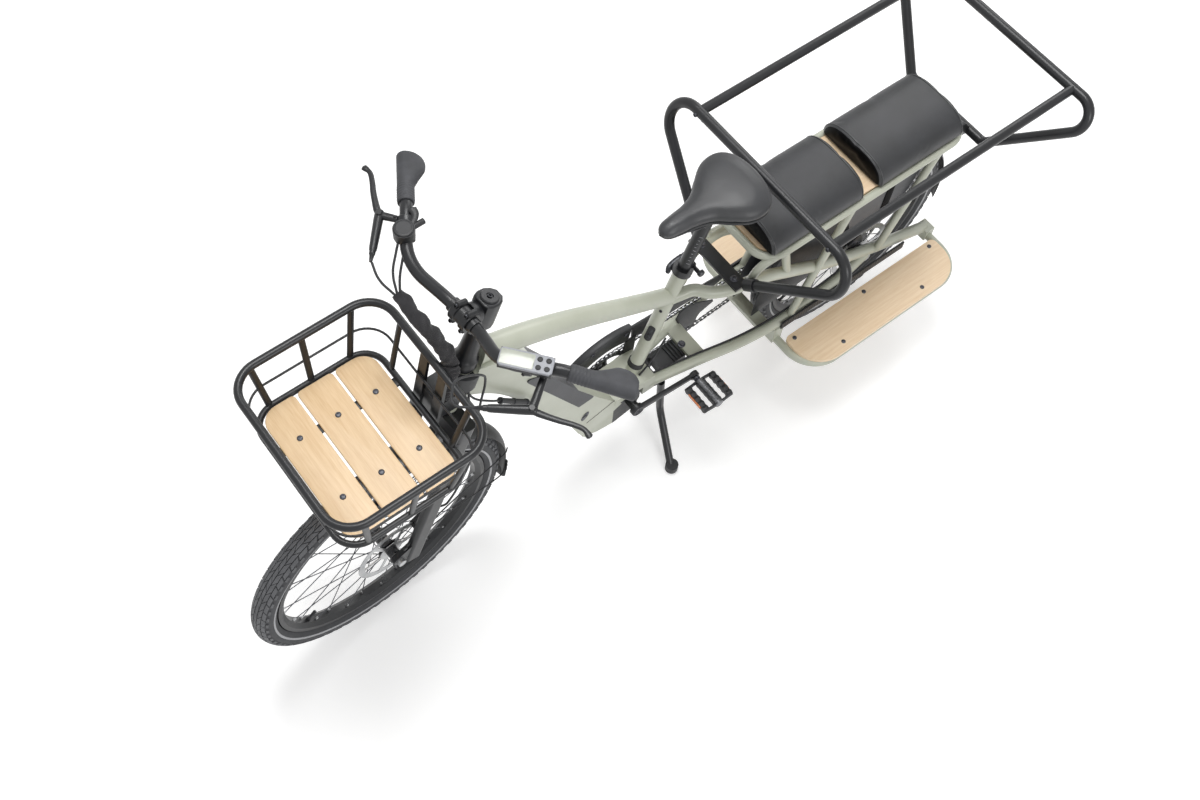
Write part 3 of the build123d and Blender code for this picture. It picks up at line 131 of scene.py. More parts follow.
world = bpy.data.worlds.new("studio")
bpy.context.scene.world = world
world.use_nodes = True
sky = world.node_tree.nodes["Background"]
sky.inputs["Color"].default_value = white
sky_strength = calc(world, "MULTIPLY_ADD", seen_white(world), 1.0 - fill, fill)
world.node_tree.links.new(sky_strength, sky.inputs["Strength"])

def soft_box(name, place, target, size, power):
    """A square area lamp of so many watts, at a place and facing a target."""
    data = bpy.data.lights.new(name, "AREA")
    data.shape = "SQUARE"
    data.size = size
    data.energy = power
    lamp = bpy.data.objects.new(name, data)
    bpy.context.scene.collection.objects.link(lamp)
    lamp.location = place
    lamp.rotation_euler = (Vector(target) - Vector(place)).to_track_quat("-Z", "Y").to_euler()


soft_box("overhead_lamp", (-0.3, -0.7, 5.2), (0, 0, 0.5), 2.0, 138)
soft_box("left_lamp", (0.4, 4.2, 2.8), (0, 0, 0.5), 1.6, 62)
soft_box("back_lamp", (-3.2, -1.6, 2.6), (0, 0, 0.5), 1.6, 26)

floor_mesh = bpy.data.meshes.new("floor")
floor_corners = [(x * floor_half, y * floor_half, floor_z) for x, y in ((-1, -1), (1, -1), (1, 1), (-1, 1))]
floor_mesh.from_pydata(floor_corners, [], [(0, 1, 2, 3)])
floor = bpy.data.objects.new("floor", floor_mesh)
bpy.context.scene.collection.objects.link(floor)
floor_finish = surface("studio_floor", "efefef", 0.55, Emission_Color=white)
feed(floor_finish, "Emission Strength", calc(floor_finish, "MULTIPLY", seen_white(floor_finish), floor_glow))
floor_mesh.materials.append(floor_finish)


# ---------------------------------------------------------------- frame tubes
# Hydroformed and round alloy tubes, welded and sprayed with a satin pale green paint: head tube,
# down tube, top tube, stays, deck rails and footboard rails.
def placed(made, stretch=(1, 1, 1), turn=(0, 0, 0), shift=(0, 0, 0)):
    """The object's own coordinates, shifted, turned and stretched."""
    place = add_node(made, "ShaderNodeTexCoord").outputs["Object"]
    values = {"Vector": place, "Location": shift, "Rotation": turn, "Scale": stretch}
    return add_node(made, "ShaderNodeMapping", values).outputs[0]


def noise_of(made, scale, detail=3.0, stretch=(1, 1, 1), turn=(0, 0, 0)):
    """Noise on the object's own coordinates, stretched and turned by a mapping."""
    values = {"Vector": placed(made, stretch, turn), "Scale": scale, "Detail": detail}
    return add_node(made, "ShaderNodeTexNoise", values).outputs["Fac"]


def two_tones(made, factor, dark, light, low=0.35, high=0.65):
    """The base colour runs from dark to light as the factor goes from low to high."""
    ramp = add_node(made, "ShaderNodeValToRGB", {"Fac": factor})
    for element, position, colour in zip(ramp.color_ramp.elements, (low, high), (dark, light)):
        element.position = position
        element.color = srgb(colour)
    feed(made, "Base Color", ramp.outputs["Color"])


def spread(made, factor, low, high):
    """The roughness runs from low to high with the factor."""
    mapped = add_node(made, "ShaderNodeMapRange", {"Value": factor, "To Min": low, "To Max": high})
    feed(made, "Roughness", mapped.outputs[0])


def relief(made, height, strength, depth, under=None):
    """Bumps of a depth in metres from a height, over an earlier bump if there is one."""
    values = {"Height": height, "Strength": strength, "Distance": depth}
    if under is not None:
        values["Normal"] = under
    bump = add_node(made, "ShaderNodeBump", values)
    feed(made, "Normal", bump.outputs[0])
    return bump.outputs[0]


def dress(names, made):
    """Puts one material on every slot of the named nodes."""
    for name in names:
        for slot in nodes[name].material_slots:
            slot.material = made


def finish(name, colour, roughness, tones, rough=None, grain=None, **values):
    """A surface varied by noise: tones is a scale and two colours, rough is a scale and the least and most
    roughness, and grain is a scale, a detail, a strength and a depth in metres."""
    made = surface(name, colour, roughness, **values)
    two_tones(made, noise_of(made, tones[0]), *tones[1:])
    if rough:
        spread(made, noise_of(made, rough[0]), *rough[1:])
    if grain:
        relief(made, noise_of(made, *grain[:2]), *grain[2:])
    return made


paint = finish(
    "sage_paint", "b6b9aa", 0.42, (9.0, "b0b3a3", "babdae"), (60.0, 0.36, 0.48), (900.0, 2.0, 0.12, 0.0002),
    Coat_Weight=0.35, Coat_Roughness=0.22,
)
dress(["main_frame", "down_tube", "upper_tubes", "lower_stays", "deck_rails", "footboard_rails"], paint)


# ---------------------------------------------------------------- black bars and brackets
# Steel and alloy parts powder-coated in a fine matt black: hoops, side bars, fork, handlebar, seat
# post, brackets, rims and the stand. They are bolted or clamped to the frame.
powder = finish(
    "black_powder_coat", "1a1b1d", 0.34, (14.0, "18191b", "1f2023"), (45.0, 0.28, 0.38),
    (1300.0, 2.0, 0.2, 0.0002), Specular_IOR_Level=0.42,
)
dress(["front_hoop", "rear_hoop", "side_bars", "hoop_bracket", "basket_bracket", "fork", "handlebar"], powder)
dress(["headset", "seat_post", "seat_clamp", "centre_stand", "front_rim", "rear_rim"], powder)


# ---------------------------------------------------------------- moulded plastic and rubber
# Glass-filled nylon and rubber with a fine spark-eroded grain: mudguards, calipers, shifter, covers,
# panels, feet and hoses. The motor's casing is black, with a painted shroud ahead of it.
moulded = finish(
    "black_moulded_plastic", "1b1c1e", 0.46, (20.0, "18191b", "202124"), (160.0, 0.40, 0.54),
    (2200.0, 1.0, 0.3, 0.0002),
)
dress(["front_mudguard", "rear_mudguard", "front_caliper", "rear_caliper", "shifter", "port_cover"], moulded)
dress(["stand_mount", "display"], moulded)
cover_grey = finish(
    "dark_grey_cover", "58595c", 0.5, (16.0, "36373a", "404145"), grain=(1800.0, 1.0, 0.3, 0.0002)
)
dress(["battery", "side_panels"], cover_grey)
rubber = finish("black_rubber", "1c1d1f", 0.58, (30.0, "1a1b1d", "232427"), grain=(1500.0, 2.0, 0.3, 0.0002))
dress(["stand_feet", "steering_hoses", "frame_hoses"], rubber)

ribbed = finish("ribbed_guard_plastic", "1b1c1e", 0.5, (20.0, "18191b", "222326"))
rib_values = {"Vector": placed(ribbed), "Scale": 34.0, "Distortion": 0.0}
ribs = add_node(ribbed, "ShaderNodeTexWave", rib_values, bands_direction="X")
relief(ribbed, ribs.outputs["Fac"], 0.5, 0.0012)
dress(["guard_strips"], ribbed)

motor_front = 0.086
cast = surface("motor_casing", "1b1c1e", 0.5)
cast_x = add_node(cast, "ShaderNodeSeparateXYZ", {"Vector": placed(cast)}).outputs["X"]
two_tones(cast, calc(cast, "GREATER_THAN", cast_x, motor_front), "1b1c1e", "b6b9aa", 0.4, 0.6)
spread(cast, noise_of(cast, 60.0), 0.36, 0.5)
relief(cast, noise_of(cast, 1400.0, 1.0), 0.25, 0.0002)
dress(["motor"], cast)


# ---------------------------------------------------------------- tyres
# Wide tyres of dark grey rubber: a smooth carcass, rows of shallow blocks round the crown, and a
# narrow light-reflecting ring moulded into each side. They sit in the rims' edges.
def unit(vector):
    """The vector over its own length."""
    vector = np.array(vector, float)
    return vector / np.linalg.norm(vector, axis=-1, keepdims=True)


def across(axis):
    """Two unit directions square to an axis and to each other: up less its share along the axis, and their
    cross product."""
    axis = unit(axis)
    helper = np.array((0.0, 0.0, 1.0)) if abs(axis[2]) < 0.9 else np.array((1.0, 0.0, 0.0))
    first = unit(helper - axis * np.dot(helper, axis))
    return first, np.cross(axis, first)


def grid_faces(rows, columns, around=True, ring=False):
    """Four-sided faces of a grid of points kept row by row; around joins a row's end to its start, and ring
    joins the last row to the first."""
    last_row, last_column = (rows if ring else rows - 1), (columns if around else columns - 1)
    down, along = np.meshgrid(np.arange(last_row), np.arange(last_column), indexing="ij")
    below, beside = (down + 1) % rows, (along + 1) % columns
    here, below_here = down * columns, below * columns
    corners = [here + along, here + beside, below_here + beside, below_here + along]
    return np.stack(corners, -1).reshape(-1, 4)


def closed(points, ring=False):
    """A grid of points as a closed shape: rows run around, and the first and last rows are filled flat, or
    joined to each other for a ring. Its faces are turned round where a third of the sum of each face's middle
    times its area vector, which is its volume, is below zero."""
    points = np.asarray(points, float)
    rows, columns = points.shape[:2]
    flat = points.reshape(-1, 3)
    quads = grid_faces(rows, columns, True, ring)
    ends = [] if ring else [np.arange(columns)[::-1], np.arange(columns) + (rows - 1) * columns]
    a, b, c, d = (flat[quads[:, k]] for k in range(4))
    volume = np.sum((a + b + c + d) / 4 * np.cross(c - a, d - b) / 2)
    for end in ends:
        edge = flat[end]
        volume += np.sum(edge.mean(0) * np.cross(edge, np.roll(edge, -1, 0)).sum(0) / 2)
    if volume < 0:
        quads = quads[:, ::-1]
        ends = [end[::-1] for end in ends]
    return flat, quads.tolist() + [end.tolist() for end in ends]


def turned(profile, foot, axis, sides=32, ring=False):
    """A profile of (height, radius) pairs turned about an axis: foot + height * axis + radius * (cos * u +
    sin * v)."""
    profile = np.array(profile, float)
    u, v = across(axis)
    angle = np.arange(sides) * 2 * np.pi / sides
    spokes = np.outer(np.cos(angle), u) + np.outer(np.sin(angle), v)
    rings = profile[:, None, :1] * unit(axis) + profile[:, None, 1:] * spokes
    return closed(np.array(foot, float) + rings, ring)


def make_piece(name, shapes, made, body, replaced=(), sharp=38):
    """One mesh object from closed shapes, smooth but for edges sharper than an angle in degrees, riding on a
    body."""
    points, faces, start = [], [], 0
    for shape_points, shape_faces in shapes:
        points.append(shape_points)
        faces += [[start + corner for corner in face] for face in shape_faces]
        start += len(shape_points)
    mesh = bpy.data.meshes.new(name)
    mesh.from_pydata(np.concatenate(points).tolist(), [], faces)
    mesh.polygons.foreach_set("use_smooth", np.ones(len(mesh.polygons), bool))
    mesh.set_sharp_from_angle(angle=np.radians(sharp))
    mesh.materials.append(made)
    mesh.update()
    piece = bpy.data.objects.new(name, mesh)
    bpy.context.scene.collection.objects.link(piece)
    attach(piece, body)
    if replaced:
        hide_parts(*replaced)
    return piece


tyre_rubber = finish(
    "tyre_rubber", "323336", 0.64, (24.0, "2d2e31", "38393c"), grain=(700.0, 3.0, 0.35, 0.0004)
)
block_rubber = finish(
    "worn_block_rubber", "5a5b5e", 0.6, (40.0, "525356", "646568"), grain=(700.0, 3.0, 0.3, 0.0004)
)
reflective = finish("reflective_ring", "9c9da0", 0.35, (500.0, "8d8e91", "b1b2b5"))

wheels = ("front", "rear")
wheel_joint = {wheel: joints[f"{wheel}_wheel_spin"] for wheel in wheels}
tyre_radius = {"front": 0.340, "rear": 0.312}
rim_radius = {"front": 0.288, "rear": 0.261}
section_radius = 0.029
tread_depth = 0.0024
wall = 0.0028
bead_turn = np.radians(141)


def on_tyre(wheel, turn, lean, reach):
    """A point of the tyre: turn goes round the wheel, lean goes from the crown down one side, and reach is
    the distance from the middle of the tyre's own section."""
    joint = wheel_joint[wheel]
    u, v = across(joint["axis"])
    out = np.cos(turn)[..., None] * u + np.sin(turn)[..., None] * v
    middle = tyre_radius[wheel] - section_radius
    return (
        np.array(joint["pos_m"])
        + out * (middle + reach * np.cos(lean))[..., None]
        + unit(joint["axis"]) * (reach * np.sin(lean))[..., None]
    )


def carcass(wheel, sides=180, steps=40):
    """The tyre's wall: an arc of the section from bead to bead, and the same arc inside it back again."""
    lean = np.linspace(-bead_turn, bead_turn, steps)
    outer = np.full(steps, section_radius - tread_depth)
    lean, reach = np.concatenate([lean, lean[::-1]]), np.concatenate([outer, outer - wall])
    turn = np.arange(sides) * 2 * np.pi / sides
    grid = on_tyre(wheel, *np.broadcast_arrays(turn[:, None], lean[None], reach[None]))
    return closed(grid, True)


def tread_blocks(wheel, count):
    """Rows of raised blocks: each is a patch of the tyre's outer surface, four points long and three wide,
    with its rim carried down into the carcass. A block's length is skewed by its place across it."""
    rows = [
        # lean of the row's middle, half its width, half its length as a share of the pitch, skew, shift
        (9.0, 7.0, 0.45, 0.55, 0.0),
        (-9.0, 7.0, 0.45, -0.55, 0.5),
        (27.5, 8.0, 0.45, -0.50, 0.25),
        (-27.5, 8.0, 0.45, 0.50, 0.75),
        (47.5, 8.4, 0.42, 0.35, 0.5),
        (-47.5, 8.4, 0.42, -0.35, 0.0),
        (66.0, 5.6, 0.24, 0.10, 0.0),
        (-66.0, 5.6, 0.24, -0.10, 0.5),
    ]
    pitch = 2 * np.pi / count
    q, p = np.meshgrid(np.linspace(-1, 1, 3), np.linspace(-1, 1, 4), indexing="ij")
    rim = np.array([0, 1, 2, 3, 7, 11, 10, 9, 8, 4])
    tops = grid_faces(3, 4, around=False)
    skirt = np.stack([rim, np.roll(rim, -1), 12 + (np.arange(10) + 1) % 10, 12 + np.arange(10)], -1)
    points, faces = [], []
    number = np.arange(count)[:, None]
    for middle, half_width, half_length, skew, shift in rows:
        half_turn = half_length * pitch
        turn = (number + shift) * pitch + (p.reshape(-1) * half_turn + q.reshape(-1) * skew * half_turn)[None]
        lean = np.broadcast_to(np.radians(middle + q.reshape(-1) * half_width), turn.shape)
        top = on_tyre(wheel, turn, lean, np.full(turn.shape, section_radius))
        low = on_tyre(
            wheel,
            turn[:, rim] + np.sign(p.reshape(-1)[rim]) * half_turn * 0.08,
            lean[:, rim] + np.sign(q.reshape(-1)[rim]) * np.radians(half_width) * 0.1,
            np.full((count, 10), section_radius - tread_depth - 0.0008),
        )
        each = np.concatenate([top, low], 1)
        start = sum(len(block) for block in points) + (number * 22)[..., None]
        base = np.arange(12, 22)
        faces += (start + tops[:, ::-1]).reshape(-1, 4).tolist() + (start + skirt).reshape(-1, 4).tolist()
        faces += (start[:, :, 0] + base).tolist()
        points.append(each.reshape(-1, 3))
    return np.concatenate(points), faces


def side_rings(wheel, sides=144):
    """The reflecting rings: a low band, raised a little at its middle, round each side of the carcass."""
    rings = []
    for side in (1, -1):
        lean = side * np.radians(np.array([101, 102, 107, 112, 113, 107.0]))
        reach = section_radius - tread_depth + np.array([-0.0004, 0.0003, 0.0005, 0.0003, -0.0004, -0.0008])
        turn = np.arange(sides) * 2 * np.pi / sides
        grid = on_tyre(wheel, *np.broadcast_arrays(turn[:, None], lean[None], reach[None]))
        rings.append(closed(grid, True))
    return rings


for wheel, count in zip(wheels, (68, 62)):
    body = f"{wheel}_wheel"
    make_piece(f"{wheel}_tyre_carcass", [carcass(wheel)], tyre_rubber, body, [f"{wheel}_tyre"])
    make_piece(f"{wheel}_tyre_blocks", [tread_blocks(wheel, count)], block_rubber, body)
    make_piece(f"{wheel}_tyre_reflector", side_rings(wheel), reflective, body)


# ---------------------------------------------------------------- hubs, spokes and brake discs
# Steel spokes are laced from the black hubs to silver nipples, which stand out of the rim's inner
# face. The brake discs are stamped steel, ground on their faces.
steel = finish("ground_steel", "b9babb", 0.3, (25.0, "abacae", "c6c7c8"), Metallic=1.0)
spread(steel, noise_of(steel, 300.0, 2.0), 0.24, 0.4)
dress(["front_rotor", "rear_rotor", "front_axle_bolt", "rear_axle_bolt"], steel)


def vector_node(made, operation, *values):
    """A vector math node, whose values are vectors or outputs."""
    return add_node(made, "ShaderNodeVectorMath", dict(enumerate(values)), operation=operation)


def from_axle(wheel, angle):
    """The direction square to a wheel's axle at an angle: ahead * cos + up * sin."""
    axis = wheel_joint[wheel]["axis"]
    ahead = unit(np.cross(axis, (0, 0, 1.0)))
    return np.cos(angle) * ahead + np.sin(angle) * np.cross(ahead, axis)


for wheel, shell_radius in zip(wheels, (0.031, 0.0455)):
    joint = wheel_joint[wheel]
    hub_finish = surface(f"{wheel}_hub_and_spokes", "26272a", 0.38)
    place = add_node(hub_finish, "ShaderNodeTexCoord").outputs["Object"]
    offset = vector_node(hub_finish, "SUBTRACT", place, joint["pos_m"]).outputs[0]
    crossed = vector_node(hub_finish, "CROSS_PRODUCT", offset, joint["axis"]).outputs[0]
    reach = vector_node(hub_finish, "LENGTH", crossed).outputs["Value"]
    beyond = calc(hub_finish, "GREATER_THAN", reach, shell_radius)
    two_tones(hub_finish, beyond, "202124", "55565a", 0.4, 0.6)
    feed(hub_finish, "Metallic", beyond)
    spread(hub_finish, noise_of(hub_finish, 60.0), 0.32, 0.46)
    dress([f"{wheel}_hub"], hub_finish)

nipple_profile = [(0.0, 0.0018), (0.0008, 0.0026), (0.0062, 0.0026), (0.0092, 0.0019), (0.0092, 0.0011)]
spokes_per_side = 16
for wheel in wheels:
    joint = wheel_joint[wheel]
    axis = unit(joint["axis"])
    nipples = []
    for side, first in ((1, 0.25), (-1, 0.75)):
        for number in range(spokes_per_side):
            out = from_axle(wheel, 2 * np.pi / spokes_per_side * (number + first))
            foot = np.array(joint["pos_m"]) + out * (rim_radius[wheel] - 0.0195) + axis * side * 0.0042
            nipples.append(turned(nipple_profile, foot, -out + axis * side * 0.11, 8))
    make_piece(f"{wheel}_nipples", nipples, steel, f"{wheel}_wheel")


# ---------------------------------------------------------------- bamboo boards
# Pressed bamboo plywood, oiled: three slats on the basket's floor, the deck board under the
# cushions, and the two footboards. Pan-head screws hold them to the rods and rails.
def bamboo_finish(name, along, dark, light):
    """Long light strips with darker fibres, stretched along X or Y: the tone follows 0.55 of a broad noise
    and 0.45 of a fine one."""
    made = surface(name, "dcbd8f", 0.42, Coat_Weight=0.15, Coat_Roughness=0.35)
    stretch = (0.9, 16, 16) if along == "x" else (16, 0.9, 16)
    broad = noise_of(made, 9.0, 2.0, stretch)
    fine = noise_of(made, 40.0, 4.0, stretch)
    mixed = calc(made, "MULTIPLY_ADD", fine, 0.45, calc(made, "MULTIPLY", broad, 0.55))
    two_tones(made, mixed, dark, light, 0.34, 0.66)
    spread(made, fine, 0.36, 0.5)
    relief(made, fine, 0.2, 0.0003)
    return made


def rounded_rectangle(length, width, corner, steps=6):
    """The outline of a rectangle whose corners are quarter circles, going round to the left."""
    quarter = np.repeat(np.arange(4), steps)
    angle = (quarter + np.tile(np.linspace(0, 1, steps), 4)) * np.pi / 2
    middle = np.array([(1, 1), (-1, 1), (-1, -1), (1, -1)])[quarter]
    middle = middle * (length / 2 - corner, width / 2 - corner)
    return middle + corner * np.stack([np.cos(angle), np.sin(angle)], -1)


def plate(outline, low, high, edge, origin=(0, 0, 0), u=(1, 0, 0), v=(0, 1, 0), steps=4):
    """An outline given thickness along u cross v, from low to high: near each face the outline moves inwards
    by edge * (1 - sin a) as the height goes by edge * (1 - cos a), for a from 0 to a quarter turn."""
    outline = np.array(outline, float)
    tangent = unit(np.roll(outline, -1, 0) - np.roll(outline, 1, 0))
    inward = np.stack([-tangent[:, 1], tangent[:, 0]], -1)
    if np.sum(outline[:, 0] * np.roll(outline[:, 1], -1) - outline[:, 1] * np.roll(outline[:, 0], -1)) < 0:
        inward = -inward
    angle = np.linspace(0, np.pi / 2, steps)
    inset = edge * (1 - np.sin(angle))
    rise = edge * (1 - np.cos(angle))
    insets = np.concatenate([inset, inset[::-1]])
    heights = np.concatenate([low + rise, high - rise[::-1]])
    flat = outline[None] + inward[None] * insets[:, None, None]
    u, v = unit(u), unit(v)
    raised = heights[:, None, None] * unit(np.cross(u, v))
    points = np.array(origin, float) + flat[..., :1] * u + flat[..., 1:] * v + raised
    return closed(points)


def screw(place, axis, radius=0.0045, height=0.0024, sides=16):
    """A pan-head screw standing on a place along an axis: a domed head with a round socket in its top."""
    profile = [
        (-0.001, radius),
        (height * 0.45, radius),
        (height * 0.85, radius * 0.82),
        (height, radius * 0.55),
        (height, radius * 0.46),
        (height * 0.3, radius * 0.42),
    ]
    return turned(profile, place, axis, sides)


bamboo_across = bamboo_finish("bamboo_across", "y", "d9b78b", "e8cba2")
bamboo_along = bamboo_finish("bamboo_along", "x", "e8cba6", "f4dcbc")
dress(["deck_board", "footboards"], bamboo_along)
basket_x = 0.7245
slat_x = np.array([-0.0875, 0.0, 0.0875]) + basket_x
slat_width, slat_length = 0.0818, 0.334
slat_low, slat_top = 0.8082, 0.816
bearer_y = 0.077


def slat_outline(outer):
    """A slat's outline: a rectangle with small corners, and big ones on the side towards the basket's end."""
    outline = rounded_rectangle(slat_width, slat_length, 0.009, 10)
    if outer:
        big = rounded_rectangle(slat_width, slat_length, 0.038, 10)
        outline = np.where(outline[:, :1] * outer > 0, big, outline)
    return outline


slats = [
    plate(slat_outline(outer), slat_low, slat_top, 0.0016, (middle, 0, 0))
    for middle, outer in zip(slat_x, (-1, 0, 1))
]
make_piece("basket_slats_bevelled", slats, bamboo_across, "frame", ["basket_slats"])

screw_steel = finish("screw_steel", "505156", 0.46, (200.0, "4c4d52", "606166"), Metallic=1.0)
up = (0, 0, 1)
screws = [screw((x, y, slat_top), up, 0.0062, 0.0028) for x in slat_x for y in (-bearer_y, bearer_y)]
board_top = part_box("footboards")[1].z
for side in (1, -1):
    for x, y in ((-0.425, 0.137), (-0.905, 0.137), (-0.520, 0.219), (-0.800, 0.219), (-0.665, 0.139)):
        screws.append(screw((x, side * y, board_top), up, 0.0058, 0.0026))
make_piece("board_screws", screws, screw_steel, "frame")


# ---------------------------------------------------------------- basket frame
# Steel rod bent to a rim and a smaller ring under the floor, joined by flattened posts, with two
# bearers under the slats and a thin wire at half height. It is welded, then powder-coated.
def smooth_path(points, count):
    """A smooth line through points: between two of them it is 2t3-3t2+1 and 3t2-2t3 of the points and
    t3-2t2+t and t3-t2 of the slopes there, t being the share of the way and the slopes taken by differences."""
    points = np.array(points, float)
    slopes = np.gradient(points, axis=0)
    at = np.linspace(0, len(points) - 1, count)
    low = np.minimum(at.astype(int), len(points) - 2)
    t = (at - low)[:, None]
    p, q, m, n = points[low], points[low + 1], slopes[low], slopes[low + 1]
    from_low = (2 * t**3 - 3 * t**2 + 1) * p + (t**3 - 2 * t**2 + t) * m
    return from_low + (3 * t**2 - 2 * t**3) * q + (t**3 - t**2) * n


def swept(path, radius, sides=12, up=(0, 0, 1), flat=1.0, ring=False, bulge=0.0):
    """A round or oval section carried along a path: path + radius * (cos t * side + flat * sin t * top), where
    side is up crossed with the way ahead. A bulge rounds both ends by drawing their radius in."""
    path = np.array(path, float)
    ahead = np.roll(path, -1, 0) - np.roll(path, 1, 0) if ring else np.gradient(path, axis=0)
    ahead = unit(ahead)
    side = unit(np.cross(np.broadcast_to(np.array(up, float), ahead.shape), ahead))
    top = np.cross(ahead, side)
    radius = np.broadcast_to(np.array(radius, float), (len(path),)).copy()
    if bulge:
        path = np.concatenate([path[:1] - ahead[:1] * bulge, path, path[-1:] + ahead[-1:] * bulge])
        radius = np.concatenate([radius[:1] * 0.55, radius, radius[-1:] * 0.55])
        side, top = (np.concatenate([each[:1], each, each[-1:]]) for each in (side, top))
    angle = np.arange(sides) * 2 * np.pi / sides
    wide, high = np.cos(angle)[None, :, None], flat * np.sin(angle)[None, :, None]
    section = wide * side[:, None] + high * top[:, None]
    return closed(path[:, None] + radius[:, None, None] * section, ring)


def level_ring(length, width, corner, steps, x, z, radius, sides):
    """A rod bent to a rectangle with round corners, level at z and with its middle at x."""
    outline = rounded_rectangle(length, width, corner, steps) + (x, 0.0)
    return swept(np.column_stack([outline, np.full(len(outline), z)]), radius, sides, ring=True)


rim_z, floor_ring_z = 0.940, 0.805
basket = [
    level_ring(0.3390, 0.400, 0.062, 12, 0.7085, rim_z, 0.0086, 20),
    level_ring(0.2850, 0.3560, 0.052, 12, basket_x, floor_ring_z, 0.0070, 20),
]
post_ends = [
    ((top_x, side * 0.200), (low_x, side * 0.1780), (0, 1, 0))
    for top_x, low_x in ((0.828, 0.820), (0.714, 0.724), (0.600, 0.634))
    for side in (1, -1)
]
post_ends += [((0.8780, y), (0.8670, y * 0.91), (1, 0, 0)) for y in (0.110, 0.0, -0.110)]
post_ends += [((0.5390, y), (0.5820, y * 0.90), (1, 0, 0)) for y in (0.118, -0.118)]
for top_end, low_end, across_way in post_ends:
    post = np.linspace((*top_end, rim_z), (*low_end, floor_ring_z), 9)
    basket.append(swept(post, 0.0074, 16, up=across_way, flat=0.66))
bearer = rounded_rectangle(0.2850, 0.020, 0.001, 3)
basket += [plate(bearer, -0.003, 0.003, 0.0005, (basket_x, y, floor_ring_z)) for y in (bearer_y, -bearer_y)]
make_piece("basket_frame_welded", basket, powder, "frame", ["basket_frame"])
wire = level_ring(0.312, 0.378, 0.057, 10, 0.7165, 0.872, 0.0026, 10)
make_piece("basket_wire", [wire], powder, "frame")


# ---------------------------------------------------------------- deck cushions
# Two foam pads under black vinyl, crowned across and square at the ends, with a piped seam round
# each end; their end faces carry painted shade. They are screwed up through the deck board.
vinyl = finish(
    "black_vinyl", "28292b", 0.42, (12.0, "242527", "2d2e31"), (30.0, 0.38, 0.52),
    Coat_Weight=0.12, Coat_Roughness=0.38,
)
cell_values = {"Vector": placed(vinyl), "Scale": 620.0}
cells = add_node(vinyl, "ShaderNodeTexVoronoi", cell_values, feature="DISTANCE_TO_EDGE").outputs["Distance"]
relief(vinyl, noise_of(vinyl, 55.0, 2.0), 0.06, 0.002, relief(vinyl, cells, 0.22, 0.0005))


def cushion_section(half_width, height, corners=72):
    """The end view of a pad: y = half_width * cos to the power 0.7, z = height * sin to the power 0.78 above
    a flat base whose corners are slightly drawn in."""
    angle = np.linspace(-0.10, np.pi + 0.10, corners)
    y = half_width * np.sign(np.cos(angle)) * np.abs(np.cos(angle)) ** 0.7
    z = height * np.sign(np.sin(angle)) * np.abs(np.sin(angle)) ** 0.78
    return np.stack([y, np.maximum(z, 0.0)], -1)


def lofted_pad(front, rear, section, base, edge=0.012, rows=40):
    """The pad as a grid: sections from rear to front, drawn in near both ends by edge * (1 - sin a)."""
    angle = np.linspace(0, np.pi / 2, 7)
    inset, rise = edge * (1 - np.sin(angle)), edge * (1 - np.cos(angle))
    insets = np.concatenate([inset, np.zeros(rows), inset[::-1]])
    inner = np.linspace(rear + edge, front - edge, rows + 2)[1:-1]
    x = np.concatenate([rear + rise, inner, front - rise[::-1]])
    middle = np.array([0.0, section[:, 1].max() * 0.45])
    size = np.abs(section - middle).max()
    shrink = 1 - insets / size
    flat = middle + (section - middle)[None] * shrink[:, None, None]
    return closed(np.stack([np.broadcast_to(x[:, None], flat.shape[:2]), flat[..., 0], base + flat[..., 1]], -1))


def point_places(mesh):
    """The mesh's points as rows of three numbers."""
    flat = np.empty(len(mesh.vertices) * 3)
    mesh.vertices.foreach_get("co", flat)
    return flat.reshape(-1, 3)


def puff(piece, pressure, cap, voxel=0.005, frames=20):
    """Blows a pad up as filled cloth: a voxel copy is simulated for some frames, and each point is then put at
    its start plus its own move, cut down to the cap."""
    scene = bpy.context.scene
    remesh = piece.modifiers.new("voxels", "REMESH")
    remesh.mode = "VOXEL"
    remesh.voxel_size = voxel
    depsgraph = bpy.context.evaluated_depsgraph_get()
    mesh = bpy.data.meshes.new_from_object(piece.evaluated_get(depsgraph))
    piece.modifiers.clear()
    piece.data = mesh
    before = point_places(mesh)
    cloth = piece.modifiers.new("cloth", "CLOTH")
    cloth.settings.use_pressure = True
    cloth.settings.uniform_pressure_force = pressure
    cloth.settings.effector_weights.gravity = 0.0
    cloth.settings.quality = 4
    cloth.point_cache.frame_start = 1
    cloth.point_cache.frame_end = frames
    for number in range(1, frames + 1):
        scene.frame_set(number)
    depsgraph = bpy.context.evaluated_depsgraph_get()
    move = point_places(piece.evaluated_get(depsgraph).data) - before
    far = np.linalg.norm(move, axis=1, keepdims=True)
    move *= np.minimum(1.0, cap / np.maximum(far, 1e-9))
    piece.modifiers.clear()
    scene.frame_set(1)
    mesh.vertices.foreach_set("co", (before + move).reshape(-1))
    mesh.polygons.foreach_set("use_smooth", np.ones(len(mesh.polygons), bool))
    mesh.update()


def level(piece, low):
    """Points of a pad below a height are put on it, so that it rests flat."""
    place = point_places(piece.data)
    place[:, 2] = np.maximum(place[:, 2], low)
    piece.data.vertices.foreach_set("co", place.reshape(-1))
    piece.data.update()


def soften(piece):
    """Adds the pad's one live subdivision."""
    smooth = piece.modifiers.new("soft", "SUBSURF")
    smooth.levels = 1
    smooth.render_levels = 1


